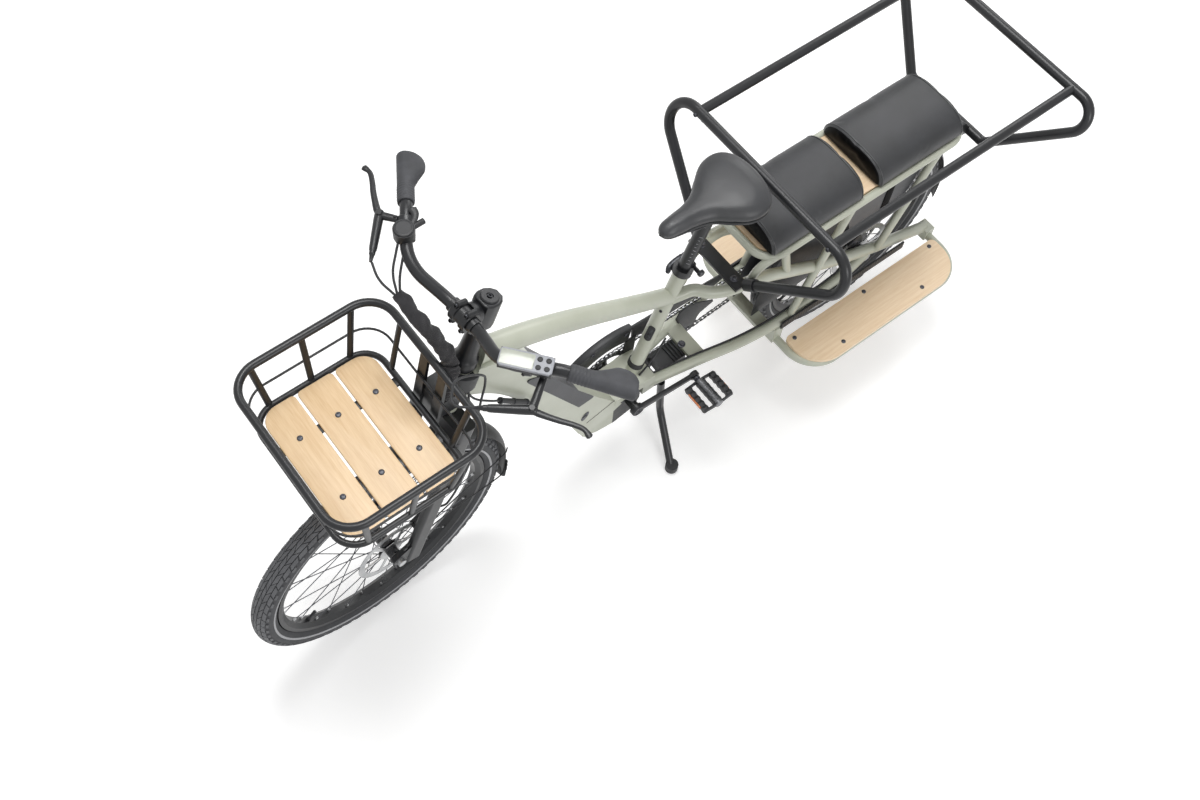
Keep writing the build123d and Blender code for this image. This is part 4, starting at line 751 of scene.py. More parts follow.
def outline_at(piece, x, middle_z, count=72):
    """Points of a pad's surface in the plane of one x: where rays from its middle leave it."""
    depsgraph = bpy.context.evaluated_depsgraph_get()
    tree = BVHTree.FromObject(piece, depsgraph)
    found = []
    for angle in np.linspace(0, 2 * np.pi, count, endpoint=False):
        ray = Vector((0.0, np.cos(angle), np.sin(angle)))
        start = Vector((x, 0.0, middle_z)) + ray * 0.3
        hit = tree.ray_cast(start, -ray)[0]
        if hit is not None:
            found.append(hit)
    return np.array(found)


cushion_base = 0.7005


def vinyl_painted_dark_ends(name, middle, half):
    """The vinyl again, with painted shade on the pad's end faces: nearly black and with little reflection where abs(x -
    middle) is more than a half length.
    """
    made = vinyl.copy()
    made.name = name
    x = add_node(made, "ShaderNodeSeparateXYZ", {"Vector": placed(made)}).outputs["X"]
    beyond = calc(made, "GREATER_THAN", calc(made, "ABSOLUTE", calc(made, "SUBTRACT", x, middle)), half)
    tone = made.node_tree.nodes["Principled BSDF"].inputs["Base Color"].links[0].from_socket
    # painted shade: the base colour goes to near black past the pad's ends, and the reflection there is cut down
    mix_values = {"Fac": beyond, "Color1": tone, "Color2": srgb("0b0b0c")}
    feed(made, "Base Color", add_node(made, "ShaderNodeMixRGB", mix_values).outputs["Color"])
    feed(made, "Specular IOR Level", calc(made, "MULTIPLY_ADD", beyond, -0.42, 0.5))
    feed(made, "Coat Weight", calc(made, "MULTIPLY_ADD", beyond, -0.12, 0.12))
    return made


section = cushion_section(0.1030, 0.058)
for name, front, rear in (("cushion_front", -0.281, -0.568), ("cushion_rear", -0.610, -0.888)):
    # each pad's end faces are painted near black as shade
    cover = vinyl_painted_dark_ends(f"{name}_vinyl", (front + rear) / 2, (front - rear) / 2 - 0.004)
    pad = lofted_pad(front, rear, section, cushion_base + 0.001)
    cushion = make_piece(name, [pad], cover, "frame", ["cushions"])
    puff(cushion, 3.0, 0.0028)
    level(cushion, cushion_base)
    soften(cushion)
    seams = []
    for x in (front - 0.010, rear + 0.010):
        seam = outline_at(cushion, x, cushion_base + 0.035)
        seams.append(swept(seam, 0.0021, 8, up=(1, 0, 0), ring=True))
    make_piece(f"{name}_piping", seams, vinyl, "frame")


# ---------------------------------------------------------------- saddle
# A wide comfort saddle: a foam pad under a moulded black cover, pinched to a nose in front, over a
# hard plastic shell whose edge shows as a lip. Its rails lie in the seat post's clamp.
saddle_from = np.array([0, 3, 9, 22, 50, 85, 118, 150, 180, 208, 232, 250, 261, 267, 268]) / 1000
saddle_half = np.array([2, 10, 17, 23, 28, 33, 45, 70, 89, 95, 91, 77, 56, 27, 4]) / 1000
saddle_top = np.array([905, 909, 913, 916, 918, 919, 921, 925, 930, 933, 934, 932, 927, 920, 912]) / 1000
saddle_low = np.array([899, 896, 893, 891, 890, 889, 889, 889, 889, 889, 890, 892, 895, 899, 903]) / 1000
saddle_nose = -0.014


def saddle_body(inset, low_shift, top_share, count=90, around=64):
    """Rings round the saddle from nose to tail: y = half width * cos to the power 0.8, and z = middle + half
    height * sin to the power 0.75, the middle being nearer the base than the top."""
    at = smooth_path(np.column_stack([saddle_from, saddle_half, saddle_top, saddle_low]), count)
    angle = np.arange(around) * 2 * np.pi / around
    y = np.sign(np.cos(angle)) * np.abs(np.cos(angle)) ** 0.8
    z = np.sign(np.sin(angle)) * np.abs(np.sin(angle)) ** 0.75
    half = np.maximum(at[:, 1] - inset, 0.0015)[:, None]
    low = at[:, 3, None] + low_shift
    top = low + (at[:, 2, None] - low) * top_share
    middle = low + (top - low) * 0.34
    height = np.where(z[None] > 0, (top - middle) * z[None], (middle - low) * z[None])
    x = saddle_nose - np.clip(at[:, 0], 0.0, 0.268) * (1 - 2 * inset / 0.268) - inset
    return closed(np.stack([np.broadcast_to(x[:, None], height.shape), half * y[None], middle + height], -1))


saddle = make_piece("saddle_cover", [saddle_body(0.001, 0.0, 1.0)], vinyl, "frame", ["saddle"])
puff(saddle, 3.0, 0.0035)
level(saddle, 0.8885)
soften(saddle)
make_piece("saddle_shell", [saddle_body(0.004, -0.003, 0.30)], moulded, "frame")


# ---------------------------------------------------------------- grips
# Moulded rubber grips pushed over the bar's ends: ribbed inside, with a broad wing for the heel of
# the hand outside. Each is held by its own stiffness and closed at the end.
steering_joint = joints["steering"]
steering_foot = np.array(steering_joint["pos_m"])
steering_lean = unit(steering_joint["axis"])
parked_steer = np.radians(4.6)


def parked(shapes):
    """Shapes built with the wheel straight ahead, turned about the steering axis to where the wheel is parked:
    each offset becomes offset * cos + (axis x offset) * sin + axis * (axis . offset) * (1 - cos)."""
    done = []
    for points, faces in shapes:
        offset = points - steering_foot
        along = offset @ steering_lean
        turned_offset = (
            offset * np.cos(parked_steer)
            + np.cross(steering_lean, offset) * np.sin(parked_steer)
            + along[:, None] * steering_lean * (1 - np.cos(parked_steer))
        )
        done.append((steering_foot + turned_offset, faces))
    return done


def on_axis(along, ahead, left):
    """A point by its distance along the steering axis, ahead of it and to the left, with the wheel straight."""
    forward = np.array((steering_lean[2], 0.0, -steering_lean[0]))
    return steering_foot + steering_lean * along + forward * ahead + np.array((0.0, left, 0.0))


bar_points = np.array([(469.3, 42, 1055.1), (494.3, 137, 1094.1), (427.3, 220, 1112.1), (344.3, 333, 1087.1)]) / 1000
grip_foot = bar_points[2]
grip_run = unit(bar_points[3] - bar_points[2])
bar_slope = unit(bar_points[2] - bar_points[1])
grip_length = 0.128


def sided(point, side):
    """The same point, or its mirror image on the right."""
    return np.array(point) * (1, side, 1)


def grip_shape(side, rows=110, around=64):
    """A grip by how far along it a ring is and the angle round it: the radius is 17 mm, plus ribs on the inner
    third, plus a wing behind whose reach swells and sinks along the outer half, flattened from above."""
    run = sided(grip_run, side)
    behind = unit(np.cross((0, 0, 1.0), run)) * side
    above = unit(np.cross(behind, run)) * side
    above = above if above[2] > 0 else -above
    along = np.linspace(0, 1, rows)
    angle = np.arange(around) * 2 * np.pi / around
    reach = np.interp(along, [0, 0.34, 0.5, 0.66, 0.8, 0.92, 1.0], [0, 0, 0.010, 0.022, 0.023, 0.018, 0.006])
    kernel = np.ones(9) / 9
    reach = np.convolve(np.pad(reach, 4, "edge"), kernel, "valid")
    rib = 0.0007 * np.clip(np.sin(along * 2 * np.pi * 19), 0, 1) * ((along > 0.04) & (along < 0.33))
    round_off = np.interp(along, [0, 0.015, 0.97, 0.99, 1.0], [0.9, 1.0, 1.0, 0.93, 0.72])
    toward = np.clip(np.cos(angle), 0, 1) ** 2.4
    radius = 0.0166 + rib[:, None] + reach[:, None] * toward[None]
    flatten = 1 - 0.38 * (reach / 0.023)[:, None] * toward[None]
    start = sided(grip_foot, side) + run * 0.016
    points = (
        start
        + (along * grip_length)[:, None, None] * run
        + (radius * round_off[:, None] * np.cos(angle))[..., None] * behind
        + (radius * round_off[:, None] * np.sin(angle) * flatten)[..., None] * above
    )
    return closed(points)


grip_rubber = surface("grip_rubber", "3a3b3e", 0.62)
two_tones(grip_rubber, noise_of(grip_rubber, 30.0), "343538", "404145")
relief(grip_rubber, noise_of(grip_rubber, 1600.0, 2.0), 0.3, 0.0003)
grip_ends = [
    turned(
        [(-0.002, 0.0085), (0.0015, 0.0085), (0.0025, 0.007), (0.0025, 0.004), (0.001, 0.0035)],
        sided(grip_foot, side) + sided(grip_run, side) * (0.016 + grip_length),
        sided(grip_run, side),
        24,
    )
    for side in (1, -1)
]
make_piece(
    "grips_winged", parked([grip_shape(1), grip_shape(-1)] + grip_ends), grip_rubber, "steering", ["grips"]
)


# ---------------------------------------------------------------- bar controls
# Hydraulic brake levers, a trigger shifter with a round cap on the right, and a computer on the
# left in a pale housing with a grey screen and four rubber buttons. All clamp round the bar.
def on_bar(before_grip, side):
    """A point of the bar's middle line, so far inboard of the grip's foot."""
    return sided(grip_foot - bar_slope * before_grip, side)


housing_grey = surface("pale_grey_housing", "96989e", 0.45)
two_tones(housing_grey, noise_of(housing_grey, 300.0), "909298", "9c9ea4")
relief(housing_grey, noise_of(housing_grey, 2400.0, 1.0), 0.2, 0.0002)
dress(["display"], moulded)
display_middle = on_bar(0.058, 1) + (0.008, 0.002, 0.028)
display_turn = np.radians(126 - 180)
display_u = (np.cos(display_turn), np.sin(display_turn), 0)
display_v = (-np.sin(display_turn), np.cos(display_turn), 0)
housing = plate(
    rounded_rectangle(0.0995, 0.0375, 0.007), 0.0015, 0.0076, 0.0015, display_middle, display_u, display_v
)
make_piece("display_housing", parked([housing]), housing_grey, "steering")
screen_glass = surface("screen_glass", "a9ada0", 0.2, Coat_Weight=0.3, Coat_Roughness=0.05)
two_tones(screen_glass, noise_of(screen_glass, 40.0), "a5a99c", "afb3a6")
screen_middle = display_middle + np.array(display_u) * 0.0165
screen = plate(
    rounded_rectangle(0.062, 0.030, 0.003), 0.0070, 0.0081, 0.0005, screen_middle, display_u, display_v
)
make_piece("display_screen", parked([screen]), screen_glass, "steering")
buttons = []
for across_shift in (-0.0085, 0.0085):
    for along_shift in (-0.0235, -0.0395):
        middle = display_middle + np.array(display_u) * along_shift + np.array(display_v) * across_shift
        buttons.append(
            turned(
                [(0.0070, 0.0052), (0.0084, 0.0052), (0.0092, 0.0042), (0.0094, 0.002)], middle, (0, 0, 1), 20
            )
        )
make_piece("display_buttons", parked(buttons), rubber, "steering")

shifter_middle = on_bar(0.052, -1) + (0.004, 0.0, 0.026)
cap_profile = [(-0.004, 0.0195), (0.0015, 0.0195), (0.0035, 0.018), (0.0042, 0.015), (0.0036, 0.0145), (0.0036, 0.004)]
shifter_parts = [turned(cap_profile, shifter_middle, (0, 0, 1), 48)]
thumb = smooth_path(
    [
        shifter_middle + (-0.018, -0.004, -0.012),
        shifter_middle + (-0.032, -0.010, -0.010),
        shifter_middle + (-0.040, -0.018, -0.008),
        shifter_middle + (-0.042, -0.028, -0.007),
    ],
    18,
)
shifter_parts.append(swept(thumb, np.linspace(0.006, 0.0085, 18), 14, flat=0.5, bulge=0.002))
for before in (0.024, 0.052):
    for side in (1, -1):
        clamp = on_bar(before, side)
        shifter_parts.append(screw(clamp + (0.019, 0, -0.004), (1, 0, -0.15), 0.0035, 0.004))
make_piece("control_details", parked(shifter_parts), moulded, "steering")


dark_steel = surface("dark_steel", "3a3b3e", 0.32, Metallic=0.85)
two_tones(dark_steel, noise_of(dark_steel, 120.0), "2f3033", "48494c")
spread(dark_steel, noise_of(dark_steel, 300.0), 0.26, 0.42)


def socket_bolt(place, axis, radius=0.004, height=0.004, sides=16):
    """A cap-head bolt: a straight knurled side, a small chamfer and a deep socket."""
    profile = [
        (-0.001, radius),
        (height * 0.85, radius),
        (height, radius * 0.88),
        (height, radius * 0.56),
        (height * 0.35, radius * 0.54),
    ]
    return turned(profile, place, axis, sides)


# ---------------------------------------------------------------- brake levers
# A hydraulic brake lever on each side: a split ring clamped round the bar, a tapered cylinder with
# its hose in a rubber boot, and a flattened blade of cast alloy, hooked back to a ball at its end.
def lever(side):
    """One lever as closed shapes: a ring, a swept bracket, cylinder and blade, and their bolts."""
    def at(x, y, z):
        return np.array((x, y * side, z)) / 1000

    perch = at(493.3 + 22 * side, 246, 1105.1)
    ring_foot = on_bar(0.024, side)
    bar_run = sided(bar_slope, side)
    ring = [(-0.0075, 0.0127), (-0.0075, 0.0165), (-0.006, 0.0177), (0.006, 0.0177), (0.0075, 0.0165), (0.0075, 0.0127)]
    shapes = [turned(ring, ring_foot, bar_run, 40, ring=True)]
    forward = unit(perch - ring_foot)
    shapes.append(
        swept(smooth_path([ring_foot + forward * 0.014, (ring_foot + perch) / 2, perch - forward * 0.001], 16),
              np.linspace(0.0068, 0.0085, 16), 16, flat=0.8)
    )  # fmt: skip
    for rise in (0.0062, -0.0062):
        shapes.append(socket_bolt(ring_foot + forward * 0.0205 + (0, 0.0, rise), forward, 0.0028, 0.004))
    run = at(74, -70, -3)
    along = np.array([-0.10, -0.08, -0.03, 0.10, 0.45, 0.70, 0.76, 0.77, 0.84, 0.85, 1.0])
    radius = np.array([0.0058, 0.0080, 0.0092, 0.0094, 0.0086, 0.0078, 0.0072, 0.0062, 0.0060, 0.0050, 0.0030])
    shapes.append(swept(perch + along[:, None] * run, radius, 24))
    shapes.append(turned([(0.0, 0.0062), (0.0068, 0.0062), (0.0078, 0.0052), (0.0078, 0.003)], perch + at(0, 0, 4), (0, 0, 1), 24))
    tip = [perch + at(0, 2, 0), at(perch[0] * 1000 - 8, 266, 1106.0), at(perch[0] * 1000 - 22, 292, 1107.1),
           at(perch[0] * 1000 - 36, 314, 1107.0), at(perch[0] * 1000 - 45, 333, 1106.2),
           at(perch[0] * 1000 - 44, 350, 1105.1)]  # fmt: skip
    width = np.interp(np.linspace(0, 1, 44), [0, 0.12, 0.3, 0.6, 0.86, 0.93, 1.0], [6.6, 7.2, 6.2, 5.4, 5.0, 6.2, 6.6])
    shapes.append(swept(smooth_path(tip, 44), width / 1000, 20, flat=0.62, bulge=0.0022))
    return shapes


make_piece("brake_levers_cast", parked(lever(1) + lever(-1)), powder, "steering", ["brake_levers"])


# ---------------------------------------------------------------- stem
# A forged stem: a round column clamped on the steerer, a head with an angular back, a short arm, and
# a clamp for the bar in two halves closed by four dark bolts. A round cap and its bolt close the top.
def oval_loft(points, half_widths, half_heights, across_way, above_way, power=0.75, around=40):
    """Sections along points: half_width * cos to a power sideways and half_height * sin to the power upwards."""
    angle = np.arange(around) * 2 * np.pi / around
    c = np.sign(np.cos(angle)) * np.abs(np.cos(angle)) ** power
    r = np.sign(np.sin(angle)) * np.abs(np.sin(angle)) ** power
    points = np.array(points, float)
    wide = np.array(half_widths)[:, None] * c
    high = np.array(half_heights)[:, None] * r
    return closed(points[:, None] + wide[..., None] * unit(across_way) + high[..., None] * unit(above_way))


left_way = np.array((0.0, 1.0, 0.0))
forward_way = unit(on_axis(0.0, 1.0, 0.0) - on_axis(0.0, 0.0, 0.0))
stem_shapes = [
    turned(
        [(0.0, 0.0200), (0.0, 0.0255), (0.0016, 0.0270), (0.0200, 0.0270), (0.0235, 0.0258), (0.0265, 0.0230),
         (0.0450, 0.0208), (0.0800, 0.0186), (0.1150, 0.0180), (0.1300, 0.0186), (0.1650, 0.0200)],
        on_axis(0.576, 0, 0), steering_lean, 56,
    ),
]  # fmt: skip
head = [(21, -20), (24, -12), (24, 12), (21, 20), (10, 24.5), (-6, 24.5), (-19, 19), (-28, 9), (-28, -9), (-19, -19),
        (-6, -24.5), (10, -24.5)]  # fmt: skip
stem_shapes.append(plate(np.array(head)[::-1] / 1000, 0.700, 0.7690, 0.004, on_axis(0, 0, 0), forward_way, left_way, 5))
arm_at = [on_axis(0.7345, 0.002, 0), on_axis(0.7360, 0.014, 0), on_axis(0.7390, 0.028, 0), on_axis(0.7430, 0.042, 0)]
stem_shapes.append(
    oval_loft(arm_at, [0.0215, 0.0205, 0.0195, 0.0205], [0.0270, 0.0255, 0.0225, 0.0215], left_way, steering_lean)
)
clamp_middle = on_axis(0.7445, 0.056, 0)
clamp_wall = [(-0.0225, 0.0162), (-0.0225, 0.0212), (-0.0210, 0.0226), (-0.0080, 0.0226), (-0.0066, 0.0196),
              (0.0066, 0.0196), (0.0080, 0.0226), (0.0210, 0.0226), (0.0225, 0.0212), (0.0225, 0.0162)]  # fmt: skip
stem_shapes.append(turned(clamp_wall, clamp_middle, left_way, 56, ring=True))
stem_bolts = []
for side in (1, -1):
    for rise in (0.0205, -0.0205):
        lug = clamp_middle + steering_lean * rise + left_way * side * 0.0145 - forward_way * 0.010
        stem_shapes.append(turned([(0.0, 0.0058), (0.0, 0.0066), (0.0215, 0.0066), (0.0228, 0.0052), (0.0228, 0.003)], lug, forward_way, 24))
        stem_bolts.append(socket_bolt(lug + forward_way * 0.0222, forward_way, 0.0044, 0.0050, 20))
for rise in (0.588, 0.728):
    stem_bolts.append(socket_bolt(on_axis(rise, -0.0265, 0.004), left_way, 0.0040, 0.0075, 18))
    stem_shapes.append(turned([(-0.012, 0.006), (0.004, 0.006), (0.0046, 0.005)], on_axis(rise, -0.0265, 0.0), left_way, 24))
cap = [(-0.002, 0.0188), (0.0022, 0.0188), (0.0042, 0.0168), (0.0042, 0.0078), (0.0022, 0.0074), (0.0022, 0.0045)]
stem_shapes.append(turned(cap, on_axis(0.7685, 0, 0), steering_lean, 48))
stem_bolts.append(socket_bolt(on_axis(0.7700, 0, 0), steering_lean, 0.0050, 0.0042, 20))
make_piece("stem_forged", parked(stem_shapes), powder, "steering", ["stem"])
make_piece("stem_bolts", parked(stem_bolts), dark_steel, "steering")


# ---------------------------------------------------------------- hose sleeve
# A flat tube of black woven cloth, stitched along one side so that its edge puckers in scallops. It
# gathers the brake hoses and the cables in front of the head tube.
sleeve_cloth = surface("sleeve_cloth", "1d1c1f", 0.86, Sheen_Weight=0.25)
two_tones(sleeve_cloth, noise_of(sleeve_cloth, 35.0), "19181b", "28272a")
weave = add_node(
    sleeve_cloth,
    "ShaderNodeTexWave",
    {"Vector": placed(sleeve_cloth, turn=(0.5, 0.4, 0.8)), "Scale": 260.0, "Distortion": 1.5, "Detail": 1.0},
)
relief(sleeve_cloth, weave.outputs["Fac"], 0.5, 0.0008, relief(sleeve_cloth, noise_of(sleeve_cloth, 90.0), 0.4, 0.003))


def sleeve(points, half_wide, half_thick, scallops, reach, rows=150, around=48):
    """An open cloth tube along a smooth line: half_wide * cos and half_thick * sin, made wider on one side by
    reach * the absolute sine of scallops half turns along it. The inside is the same, 1.2 mm smaller."""
    path = smooth_path(points, rows)
    way = unit(np.gradient(path, axis=0))
    wide = unit(np.cross(way, (0.25, 0.35, 0.9)))
    thick = np.cross(way, wide)
    along = np.linspace(0, 1, rows)
    angle = np.arange(around) * 2 * np.pi / around
    half_wide = np.interp(along, np.linspace(0, 1, len(half_wide)), half_wide)
    bump = reach * np.abs(np.sin(np.pi * scallops * along))
    crease = 0.0009 * np.sin(along * 57)[:, None] * np.cos(3 * angle + 5 * along[:, None])
    layers = []
    for wall in (0.0, 0.0012):
        w = half_wide[:, None] - wall + crease + bump[:, None] * np.clip(-np.cos(angle), 0, 1) ** 4
        h = half_thick - wall + crease
        layers.append(path[:, None] + (w * np.cos(angle))[..., None] * wide[:, None] + (h * np.sin(angle))[..., None] * thick[:, None])
    return closed(np.concatenate([layers[0], layers[1][::-1]]), True)


sleeve_line = [on_axis(0.731, 0.125, -0.110), on_axis(0.705, 0.112, -0.061), on_axis(0.672, 0.086, -0.029),
               on_axis(0.628, 0.058, -0.002), on_axis(0.590, 0.044, 0.004)]  # fmt: skip
lower_line = [on_axis(0.604, 0.050, 0.004), on_axis(0.575, 0.050, 0.012), on_axis(0.545, 0.052, 0.018),
              on_axis(0.520, 0.050, 0.020)]  # fmt: skip
sleeves = [
    sleeve(sleeve_line, [0.0112, 0.0132, 0.0136, 0.0146, 0.0145], 0.0085, 5.0, 0.0058),
    sleeve(lower_line, [0.0190, 0.0180, 0.0170, 0.0120], 0.0110, 3.0, 0.0050, 80),
]
make_piece("hose_sleeve_cloth", parked(sleeves), sleeve_cloth, "steering", ["hose_sleeve"])


# ---------------------------------------------------------------- chain
# A roller chain: pairs of waisted plates, narrow and wide by turns, on rollers 12.7 mm apart. It runs
# round the chainring, the rear cog and the tensioner's wheel.
def wrapped(circles):
    """Points evenly spaced on a belt pulled round circles (x, z, radius): in each direction n the belt is on the
    circle whose centre . n + radius is most, at centre + radius * n."""
    circles = np.array(circles, float)
    angle = np.linspace(0, 2 * np.pi, 3600, endpoint=False)
    n = np.stack([np.cos(angle), np.sin(angle)], -1)
    which = (n @ circles[:, :2].T + circles[:, 2]).argmax(1)
    line = circles[which, :2] + circles[which, 2:] * n
    line = np.concatenate([line, line[:1]])
    far = np.concatenate([[0.0], np.cumsum(np.linalg.norm(np.diff(line, axis=0), axis=1))])
    spacing = 0.0127
    count = 2 * round(far[-1] / spacing / 2)
    at = np.arange(count) / count * far[-1]
    return np.stack([np.interp(at, far, line[:, 0]), np.interp(at, far, line[:, 1])], -1)


chain_y = -0.057
pins = wrapped([(0.041, 0.290, 0.0728), (-0.708, 0.312, 0.0406), (-0.233, 0.250, 0.0235)])
ahead_pins = np.roll(pins, -1, 0)
end_turn = np.radians([-75, -35, 0, 35, 75])
chain_plates, chain_rollers = [], []
for number, (here, there) in enumerate(zip(pins, ahead_pins)):
    run = there - here
    length = np.linalg.norm(run)
    run = run / length
    rise = np.array((-run[1], run[0]))
    flat = np.concatenate(
        [
            np.stack([length / 2 + 0.0042 * np.cos(end_turn), 0.0042 * np.sin(end_turn)], -1),
            [(0.0, 0.0028)],
            np.stack([-length / 2 - 0.0042 * np.cos(end_turn), 0.0042 * np.sin(end_turn)], -1)[::-1],
            [(0.0, -0.0028)],
        ]
    )
    middle = (here + there) / 2
    outline = middle + flat[:, :1] * run + flat[:, 1:] * rise
    shift = 0.0030 if number % 2 else 0.0019
    for side in (1, -1):
        y = chain_y + side * np.array([shift, shift + 0.0010])
        grid = np.stack([np.broadcast_to(outline[:, 0], (2, 12)), np.repeat(y[:, None], 12, 1),
                         np.broadcast_to(outline[:, 1], (2, 12))], -1)  # fmt: skip
        chain_plates.append(closed(grid))
    chain_rollers.append(turned([(-0.0043, 0.0016), (-0.0018, 0.0016), (-0.0018, 0.0038), (0.0018, 0.0038), (0.0018, 0.0016), (0.0043, 0.0016)], (here[0], chain_y, here[1]), (0, 1, 0), 8))
make_piece("chain_plates", chain_plates, dark_steel, "frame", ["chain"])
make_piece("chain_rollers", chain_rollers, steel, "frame")


# ---------------------------------------------------------------- chainring, cog and cranks
# A stamped steel chainring on a five-armed spider, a smaller cog on the rear hub, and forged cranks
# with round bosses, bolted to the motor's axle. The pedals' pins screw into the cranks' ends.
def toothed(middle, inner, tip, teeth, depth, half):
    """A ring across Y with teeth: its edge is tip - depth * (1 - wave), wave being 0, 0.3, 1, 1, 0.3, 0 in each
    tooth, and its walls are half on each side of the middle."""
    count = teeth * 6
    angle = np.arange(count) * 2 * np.pi / count
    edge = tip - depth * (1 - np.tile([0, 0.3, 1, 1, 0.3, 0], teeth))
    rings = []
    for radius, y in ((edge, -half), (edge, half), (np.full(count, inner), half), (np.full(count, inner), -half)):
        rings.append(
            np.stack([middle[0] + radius * np.cos(angle), np.full(count, middle[1] + y), middle[2] + radius * np.sin(angle)], -1)
        )
    return closed(np.array(rings), True)


crank_middle = np.array((0.041, 0.0, 0.290))
ring_middle = crank_middle + (0, chain_y, 0)
ring_shapes = [toothed(ring_middle, 0.0575, 0.0765, 36, 0.0055, 0.0011)]
spider, spider_bolts = [], []
for turn in np.arange(5) * 2 * np.pi / 5 + 0.3:
    out = np.array((np.cos(turn), 0, np.sin(turn)))
    arm = ring_middle + np.outer(np.linspace(0.012, 0.064, 8), out) - (0, 0.004, 0)
    spider.append(swept(arm, np.linspace(0.0085, 0.0065, 8), 16, up=(0, 1, 0), flat=0.4, bulge=0.002))
    spider_bolts.append(socket_bolt(ring_middle + out * 0.0605 - (0, 0.0055, 0), (0, -1, 0), 0.0042, 0.002))
ring_piece = make_piece("chainring_toothed", ring_shapes, dark_steel, "cranks", ["chainring"])
make_piece("chainring_bolts", spider_bolts, screw_steel, "cranks")
make_piece("rear_cog_toothed", [toothed((-0.708, chain_y, 0.312), 0.017, 0.0440, 20, 0.0050, 0.0011)], dark_steel, "rear_wheel", ["rear_cog"])

crank_shapes = list(spider)
pins_shapes = []
for side in (1, -1):
    root = crank_middle + (0, side * 0.0725, 0)
    tip = crank_middle + (-side * 0.173, side * 0.081, 0)
    share = np.linspace(0, 1, 24)
    path = root + share[:, None] * (tip - root)
    wide = np.interp(share, [0, 0.15, 0.85, 1], [0.0062, 0.0062, 0.0058, 0.0058])
    high = np.interp(share, [0, 0.12, 0.5, 0.9, 1], [0.0150, 0.0122, 0.0108, 0.0108, 0.0125])
    crank_shapes.append(oval_loft(path, wide, high, (0, 1, 0), (0, 0, 1), 0.8, 32))
    outward = (0, side, 0)
    boss = [(-0.0335, 0.0120), (-0.0075, 0.0120), (-0.0070, 0.0165), (-0.0055, 0.0178), (0.0055, 0.0178),
            (0.0078, 0.0160), (0.0080, 0.0112), (0.0064, 0.0106), (0.0064, 0.0040)]  # fmt: skip
    crank_shapes.append(turned(boss, root, outward, 40))
    eye = [(-0.0068, 0.0070), (-0.0068, 0.0118), (-0.0055, 0.0132), (0.0055, 0.0132), (0.0068, 0.0118), (0.0068, 0.0070)]
    crank_shapes.append(turned(eye, tip, outward, 36))
    pins_shapes.append(turned([(-0.0062, 0.0050), (0.006, 0.0052), (0.009, 0.0088), (0.014, 0.0088), (0.0145, 0.0068), (0.096, 0.0062)], tip, outward, 20))
    pins_shapes.append(socket_bolt(root + np.array((0, side * 0.0055, 0)), outward, 0.0080, 0.0022, 24))
make_piece("cranks_forged", crank_shapes, powder, "cranks", ["cranks"])
make_piece("pedal_pins", pins_shapes, screw_steel, "cranks")


# ---------------------------------------------------------------- pedals
# Black alloy cage pedals with a wavy edge for grip, an extruded grey body on bearings with ribs round it,
# and an orange reflector pressed into the front and back of each cage.
pedal_body = surface("grey_pedal_body", "6f7073", 0.4, Metallic=0.7)
two_tones(pedal_body, noise_of(pedal_body, 200.0), "606164", "828386")
amber = surface("amber_reflector", "d2691c", 0.25, Coat_Weight=0.6, Coat_Roughness=0.1)
amber_cells = add_node(amber, "ShaderNodeTexVoronoi", {"Vector": placed(amber), "Scale": 420.0}).outputs["Distance"]
two_tones(amber, amber_cells, "c25c14", "e07a28", 0.1, 0.7)
relief(amber, amber_cells, 0.4, 0.0008)


def wavy_plate(middle, half_long, half_high, thick, waves, depth):
    """A bar along Y whose top and bottom edges are half_high + depth * cos of waves turns along it."""
    along = np.linspace(-1, 1, 61)
    edge = half_high + depth * np.cos(along * np.pi * waves)
    edge *= np.sqrt(np.clip(1.0 - np.abs(along) ** 14, 0.18, 1))
    outline = np.concatenate([np.stack([along * half_long, -edge], -1), np.stack([along * half_long, edge], -1)[::-1]])
    return plate(outline, -thick / 2, thick / 2, 0.0010, middle, (0, 1, 0), (0, 0, 1), 3)


for name, side in (("pedal_left", 1), ("pedal_right", -1)):
    middle = crank_middle + (-side * 0.173, side * 0.139, 0)
    cage = [wavy_plate(middle + (shift, 0, 0), 0.0400, 0.0086, 0.0150, 5, 0.0019) for shift in (0.0375, -0.0375)]
    for end in (1, -1):
        rim = [middle + (x, end * side * (0.0385 - 0.16 * abs(x) ** 1.35), 0) for x in np.linspace(-0.042, 0.042, 17)]
        cage.append(swept(rim, 0.0033, 16, flat=2.4, bulge=0.0015))
    for way in (1, -1):
        cage.append(wavy_plate(middle + (way * 0.0105, 0, 0), 0.0380, 0.0072, 0.0040, 5, 0.0010))
    make_piece(f"{name}_cage", cage, moulded, name, [name])
    barrel = [(-0.039, 0.0085), (-0.038, 0.0112), (-0.030, 0.0118), (-0.020, 0.0102), (0.020, 0.0102), (0.030, 0.0118),
              (0.0405, 0.0118), (0.0425, 0.0100), (0.0425, 0.0050)]  # fmt: skip
    ribs_at = np.arange(-0.018, 0.0181, 0.006)
    body = [turned(barrel, middle, (0, side, 0), 32)]
    body += [turned([(-0.0008, 0.0100), (-0.0008, 0.0112), (0.0008, 0.0112), (0.0008, 0.0100)], middle + (0, y, 0), (0, 1, 0), 28) for y in ribs_at]
    make_piece(f"{name}_body", body, pedal_body, name)
    lenses = [
        plate(rounded_rectangle(0.046, 0.0100, 0.002, 4), -0.001, 0.0016, 0.0006,
              middle + (face * 0.0452, 0, 0), (0, face, 0), (0, 0, 1))
        for face in (1, -1)
    ]  # fmt: skip
    make_piece(f"{name}_reflectors", lenses, amber, name)


